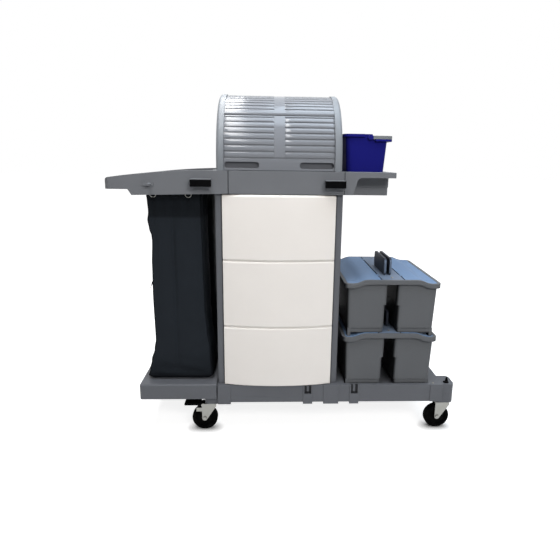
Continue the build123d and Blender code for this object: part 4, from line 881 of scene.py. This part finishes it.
class TROLLEY_OT_bag(bpy.types.Operator):
    """Loft the laundry bag as one sagging shell of cloth"""

    bl_idname = "trolley.bag"
    bl_label = "Loft the laundry bag"

    def execute(self, context):
        sizes = context.scene.trolley_sizes
        rows = self.rows(sizes.bag_rows)
        points = []
        for height, inset, proud in rows:
            points += [place for place, out in bag_ring(height, sizes, inset, proud)]
        size = sum(bag_columns)
        faces = []
        for row in range(len(rows) - 1):
            faces += band(row * size, (row + 1) * size, size)
        faces += self.floor(points, size)
        bag = add_sheet("laundry_bag_cloth", points, faces, "bag", sizes.cloth)
        settle(bag)
        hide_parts("laundry_bag")
        return {"FINISHED"}

    @staticmethod
    def rows(count):
        """Height, inset and stand of each row of points: the rounded foot, the wall and the hem."""
        foot = bag_low.z
        rows = []
        for step in range(bag_foot_rows + 1):
            turn = math.radians(90 * step / bag_foot_rows)
            rows.append((foot + bag_foot * (1 - math.cos(turn)), bag_foot * (1 - math.sin(turn)), 0))
        climb = bag_hem - foot - bag_foot
        rows += [(foot + bag_foot + climb * (i + 1) / count, 0, 0) for i in range(count)]
        start = bag_hem + bag_hem_lap
        rise = bag_high.z - start
        rows += [(start + rise * i / bag_hem_rows, 0, bag_hem_lap) for i in range(bag_hem_rows + 1)]
        return rows

    @staticmethod
    def floor(points, size):
        """Close the bag's floor with shrinking rings. Adds their points and returns their faces."""
        outer = points[:size]
        middle = sum(outer, Vector()) / size
        faces = []
        last = 0
        for share in bag_floor_rings:
            start = len(points)
            points += [middle.lerp(place, share) for place in outer]
            faces += band(start, last, size)
            last = start
        points.append(middle)
        faces += [(last + (i + 1) % size, last + i, len(points) - 1) for i in range(size)]
        return faces


piping_drop = 0.005  # how far the lower piping runs below the rounding's upper end
piping_stop = 0.002  # how far the corners' piping ends below the bag's top
piping_proud = (0.0004, 0.0003)  # how far it stands out, round the foot and up the corners
hem_stitches = (0.004, 0.026)  # heights of the stitches above the hem's lower edge
foot_stitches = 0.004  # height of the stitches above the rounding
stitch_size = (0.0042, 0.0008, 0.0007)
stitch_proud = 0.0002
zip_wall = 6  # number of the bag's left wall
zip_y = -0.185
zip_low, zip_high = 0.33, 0.9
zip_half = 0.007  # half of its tape's width
tape_thick = 0.0011
tape_proud = 0.0012
tape_seam = 0.0015  # how far the tape's stitches lie inside its edges
tape_seam_proud = 0.0013
tooth_size = (0.0018, 0.0046, 0.0013)
tooth_proud = 0.0016
slider_height = 0.596
slider_blocks = (  # size, place beside the zip and tilt in degrees of body, bridge and pull
    ((0.0045, 0.008, 0.012), (-0.0028, 0, 0), 0),
    ((0.003, 0.003, 0.006), (-0.0058, 0, 0.001), 0),
    ((0.0018, 0.0052, 0.021), (-0.0088, 0, -0.0085), 20),
)
slider_round = 0.3  # rounding of a block's edges as a share of its least side
ring_low, ring_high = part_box("bag_rings")
ring_columns = (-0.4915, -0.367)
ring_inset = 0.0015  # place that a loop is set from, inside the rings' box
loop_out, loop_drop = 0.00275, 0.00495  # a loop's middle, outward of that and below the ring
loop_lean = (0.4, 0.915)  # outward and upward parts of a loop's long direction
loop_long, loop_short = 0.0105, 0.0032  # half of its length and of its width
loop_cord = 0.0008  # radius of its cord
loop_points = 20


def upright(section, share, low, high, sizes, proud, step=0.006):
    """A path up the bag's outside."""
    count = round((high - low) / step)
    heights = [low + (high - low) * i / count for i in range(count + 1)]
    return [bag_point(section, share, height, sizes, proud=proud) for height in heights]


def zip_share(aside=0.0):
    """Where the zip, or a line beside it, is along the bag's left wall, counted from the back."""
    return (bag_high.y - bag_corner - zip_y - aside) / (bag_high.y - bag_low.y - 2 * bag_corner)


def zip_path(sizes, proud, aside=0.0):
    """A path up the bag's left wall, along the zip or a line beside it."""
    return upright(zip_wall, zip_share(aside), zip_low, zip_high, sizes, proud)


def ring_loop(x, y, out):
    """A small oval loop from the hem round the lower arc of a ring."""
    middle = Vector((x, y + loop_out * out, ring_low.z - loop_drop))
    outward, upward = loop_lean
    long_way = Vector((0, outward * out, upward)) * loop_long
    short_way = Vector((0, upward, -outward * out)) * loop_short
    path = []
    for step in range(loop_points):
        turn = math.radians(360 * step / loop_points)
        side = math.cos(turn) * long_way + math.sin(turn) * short_way
        path.append((middle + side, side.normalized()))
    return path


class TROLLEY_OT_bag_trim(bpy.types.Operator):
    """Sew the bag's piping, stitches, zip and hanging loops"""

    bl_idname = "trolley.bag_trim"
    bl_label = "Trim the laundry bag"

    def execute(self, context):
        sizes = context.scene.trolley_sizes
        trim = [make(sizes) for make in (self.piping, self.stitches, self.tape, self.teeth, self.slider)]
        trim.append(self.loops())
        return {"FINISHED"}

    @staticmethod
    def piping(sizes):
        low = bag_low.z + bag_foot - piping_drop
        high = bag_high.z - piping_stop
        round_foot, up_corner = piping_proud
        paths = [(bag_ring(low, sizes, proud=round_foot), True)]
        paths += [(upright(corner, 0.5, low, high, sizes, up_corner), False) for corner in (1, 3, 5, 7)]
        return grow("bag_piping", paths, piping_tree(), "webbing", smooth=cord_smooth, Radius=sizes.piping)

    @staticmethod
    def stitches(sizes):
        proud = bag_hem_lap + stitch_proud
        paths = [(bag_ring(bag_hem + height, sizes, proud=proud), True) for height in hem_stitches]
        paths.append((bag_ring(bag_low.z + bag_foot + foot_stitches, sizes, proud=stitch_proud), True))
        aside = zip_half - tape_seam
        paths += [(zip_path(sizes, tape_seam_proud, side), False) for side in (-aside, aside)]
        return grow("bag_stitches", paths, row_tree(), "webbing", Spacing=sizes.stitch, Size=stitch_size)

    @staticmethod
    def tape(sizes):
        edges = [zip_path(sizes, tape_proud, side) for side in (-zip_half, zip_half)]
        points = [place for edge in edges for place, out in edge]
        count = len(edges[0])
        faces = [(i, i + 1, count + i + 1, count + i) for i in range(count - 1)]
        return settle(add_sheet("bag_zip_tape", points, faces, "webbing", tape_thick))

    @staticmethod
    def teeth(sizes):
        paths = [(zip_path(sizes, tooth_proud), False)]
        return grow("bag_zip_teeth", paths, row_tree(), "rubber", Spacing=sizes.tooth, Size=tooth_size)

    @staticmethod
    def slider(sizes):
        place, out = bag_point(zip_wall, zip_share(), slider_height, sizes)
        shape = bmesh.new()
        for size, offset, tilt in slider_blocks:
            turn = Matrix.Translation(place + Vector(offset)) @ Matrix.Rotation(math.radians(tilt), 4, "Y")
            made = bmesh.ops.create_cube(shape, size=1, matrix=turn @ Matrix.Diagonal((*size, 1)))
            edges = list({edge for vertex in made["verts"] for edge in vertex.link_edges})
            bmesh.ops.bevel(shape, geom=edges, offset=min(size) * slider_round, segments=2,
                            affect="EDGES", profile=0.5)
        mesh = bpy.data.meshes.new("bag_zip_slider")
        shape.to_mesh(mesh)
        shape.free()
        return settle(add_piece("bag_zip_slider", mesh, "rubber"))

    @staticmethod
    def loops():
        paths = []
        for x in ring_columns:
            paths.append((ring_loop(x, ring_low.y + ring_inset, -1), True))
            paths.append((ring_loop(x, ring_high.y - ring_inset, 1), True))
        return grow("bag_loops", paths, piping_tree(), "webbing", smooth=cord_smooth, Radius=loop_cord)


panel_screws = [(x, 0.273, z) for x in (-0.2335, 0.1445) for z in (0.26, 0.48, 0.7, 0.92)]
screw_places = {  # body, facing and places of each set of screws
    "base_screws": ("chassis", facing_up, [(0.561, y, 0.215) for y in (-0.2504, 0.284)]),
    "back_screws": ("chassis", facing_back, panel_screws),
    "lower_bridge_screws": ("lower_box", facing_up, [(0.381, y, 0.421) for y in (-0.2215, 0.153)]),
    "upper_bridge_screws": ("upper_box", facing_up, [(0.381, y, 0.629) for y in (-0.2215, 0.153)]),
}


class TROLLEY_OT_screws(bpy.types.Operator):
    """Set the screws of the base, the back panel and the bridges"""

    bl_idname = "trolley.screws"
    bl_label = "Set the screws"

    def execute(self, context):
        radius = context.scene.trolley_sizes.screw
        tree = screw_tree()
        for name, (body, facing, places) in screw_places.items():
            paths = [([(place, facing)], False) for place in places]
            grow(name, paths, tree, "zinc", body, Radius=radius)
        return {"FINISHED"}


pedal_margin = 0.007  # bare edge beside a pedal's ribs
pedal_ribbed = 0.06  # how far along a pedal its ribs may go
rib_width, rib_height = 0.003, 0.0022


class TROLLEY_OT_pedal_ribs(bpy.types.Operator):
    """Raise grip ribs on the brake pedals"""

    bl_idname = "trolley.pedal_ribs"
    bl_label = "Raise the pedal ribs"

    def execute(self, context):
        sizes = context.scene.trolley_sizes
        tree = row_tree()
        for body in ("brake_front_left", "brake_rear_left"):
            low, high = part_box(body.replace("brake", "brake_pedal"))
            middle = (low.y + high.y) / 2
            path = [((low.x + run, middle, high.z), facing_up) for run in (pedal_margin, pedal_ribbed)]
            size = (rib_width, high.y - low.y - 2 * pedal_margin, rib_height)
            grow(body + "_ribs", [(path, False)], tree, "rubber", body, Spacing=sizes.rib, Size=size)
        return {"FINISHED"}


camera_place = (-0.07778, -1.98275, 1.05068)
camera_yaw = math.radians(2.487)
camera_pitch = math.radians(13.063)
camera_roll = math.radians(0.837)
sensor_width = 36
picture_side = 560
picture_focus = 487.87
picture_centre = (290.11, 274.03)
white = (1, 1, 1, 1)
world_fill = 0.15  # the world's light on the trolley, where 1 is the white that is seen
floor_half = 30
floor_seen = 0.84  # how white the floor is seen under the trolley
floor_fade = (0.8, 3.0)  # distances over which it turns fully white
contact_reach = 0.04  # how near a thing has to be to cast the painted contact shadow on the floor that is seen
contact_power = 3.0
contact_samples = 8
lamp_set = (  # name, place, aim, width, depth, power, colour
    ("Key light", (-0.58, -0.25, 2.9), (-0.58, -0.25, 0), 0.6, 3.7, 78, (1.0, 0.99, 0.98)),
    ("Top light", (0.8, -0.2, 3.4), (0.3, 0, 0.5), 2.2, 2.2, 66, (0.74, 0.87, 1.0)),
    ("Front light", (1.0, -3.1, 2.3), (0, 0, 0.75), 1.4, 0.6, 63, (1.0, 0.985, 0.965)),
    ("Back light", (-0.2, 3.0, 3.0), (0, 0.2, 0.7), 1.8, 1.0, 40, (1.0, 1.0, 1.0)),
)
mirrored_lamps = ("Key light", "Top light")  # the others would leave white spots on the hood


def seen_ray(graph):
    """1 on rays that show a surface directly, in a mirror or through glass, and 0 on rays that light it."""
    path = graph.node("ShaderNodeLightPath", out="Is Camera Ray")
    return path.math("MAXIMUM", path.of("Is Glossy Ray")).math("MAXIMUM", path.of("Is Transmission Ray"))


class TROLLEY_OT_stage(bpy.types.Operator):
    """Set the camera, the lights and a pale floor"""

    bl_idname = "trolley.stage"
    bl_label = "Set the stage"

    def execute(self, context):
        self.camera(context.scene)
        self.world(context.scene)
        self.floor(context.scene)
        self.lamps(context.scene)
        context.scene.view_settings.view_transform = "Standard"
        return {"FINISHED"}

    @staticmethod
    def camera(scene):
        level = Vector((math.sin(camera_yaw), math.cos(camera_yaw), 0))
        right = Vector((math.cos(camera_yaw), -math.sin(camera_yaw), 0))
        ahead = math.cos(camera_pitch) * level - math.sin(camera_pitch) * Vector(facing_up)
        above = math.sin(camera_pitch) * level + math.cos(camera_pitch) * Vector(facing_up)
        across = math.cos(camera_roll) * right + math.sin(camera_roll) * above
        upward = math.cos(camera_roll) * above - math.sin(camera_roll) * right
        turn = Matrix((across, upward, -ahead)).transposed().to_4x4()
        lens = bpy.data.cameras.new("Camera")
        lens.sensor_width = sensor_width
        lens.lens = sensor_width * picture_focus / picture_side
        lens.shift_x = (picture_side / 2 - picture_centre[0]) / picture_side
        lens.shift_y = (picture_centre[1] - picture_side / 2) / picture_side
        camera = bpy.data.objects.new("Camera", lens)
        camera.matrix_world = Matrix.Translation(camera_place) @ turn
        scene.collection.objects.link(camera)
        scene.camera = camera

    @staticmethod
    def world(scene):
        world = bpy.data.worlds.new("Studio")
        world.use_nodes = True
        graph = Graph(world.node_tree)
        strength = world_fill + seen_ray(graph) * (1 - world_fill)
        light = graph.node("ShaderNodeBackground", {"Color": white, "Strength": strength})
        graph.node("ShaderNodeOutputWorld", {"Surface": light})
        scene.world = world

    @staticmethod
    def floor(scene):
        mesh = bpy.data.meshes.new("Floor")
        corners = [(x * floor_half, y * floor_half, 0) for x, y in ((-1, -1), (1, -1), (1, 1), (-1, 1))]
        mesh.from_pydata(corners, [], [(0, 1, 2, 3)])
        material, graph = new_material("Studio floor")
        shade = graph.node("ShaderNodeBsdfDiffuse", {"Color": (*scene.trolley_colours.floor, 1)})
        place = graph.node("ShaderNodeTexCoord", out="Object")
        distance = graph.node("ShaderNodeVectorMath", {0: place}, out="Value", operation="LENGTH")
        # The floor's seen glow is darkened by ambient occlusion near things: a painted contact shadow
        inputs = {"Distance": contact_reach}
        painted_contact_shadow = graph.node("ShaderNodeAmbientOcclusion", inputs, out="AO", samples=contact_samples)
        seen = graph.ramp(distance, *floor_fade) * (1 - floor_seen) + floor_seen
        strength = seen_ray(graph) * seen * painted_contact_shadow ** contact_power
        glow = graph.node("ShaderNodeEmission", {"Color": white, "Strength": strength})
        both = graph.node("ShaderNodeAddShader", {0: shade, 1: glow})
        graph.node("ShaderNodeOutputMaterial", {"Surface": both})
        mesh.materials.append(material)
        add_piece("Floor", mesh)

    @staticmethod
    def lamps(scene):
        for name, place, aim, width, depth, power, colour in lamp_set:
            lamp = bpy.data.lights.new(name, "AREA")
            lamp.shape = "RECTANGLE"
            lamp.energy = power
            lamp.size = width
            lamp.size_y = depth
            lamp.color = colour
            holder = bpy.data.objects.new(name, lamp)
            holder.location = place
            holder.visible_glossy = name in mirrored_lamps
            holder.rotation_euler = (Vector(aim) - Vector(place)).to_track_quat("-Z", "Y").to_euler()
            scene.collection.objects.link(holder)


class TROLLEY_PT_panel(bpy.types.Panel):
    """The trolley's colours, sizes and steps"""

    bl_label = "Cleaning trolley"
    bl_space_type = "VIEW_3D"
    bl_region_type = "UI"
    bl_category = "Trolley"

    def draw(self, context):
        for group in (context.scene.trolley_colours, context.scene.trolley_sizes):
            for name in group.__annotations__:
                self.layout.prop(group, name)
        for step in steps:
            self.layout.operator(step.bl_idname)


steps = (
    TROLLEY_OT_finishes,
    TROLLEY_OT_slats,
    TROLLEY_OT_drawer_lips,
    TROLLEY_OT_bag,
    TROLLEY_OT_bag_trim,
    TROLLEY_OT_screws,
    TROLLEY_OT_pedal_ribs,
    TROLLEY_OT_stage,
)
classes = (TrolleyColours, TrolleySizes, *steps, TROLLEY_PT_panel)


def register():
    for item in classes:
        bpy.utils.register_class(item)
    bpy.types.Scene.trolley_colours = PointerProperty(type=TrolleyColours)
    bpy.types.Scene.trolley_sizes = PointerProperty(type=TrolleySizes)


def unregister():
    del bpy.types.Scene.trolley_sizes
    del bpy.types.Scene.trolley_colours
    for item in reversed(classes):
        bpy.utils.unregister_class(item)


def main():
    register()
    for step in steps:
        group, name = step.bl_idname.split(".")
        getattr(getattr(bpy.ops, group), name)()


if __name__ == "__main__":
    main()
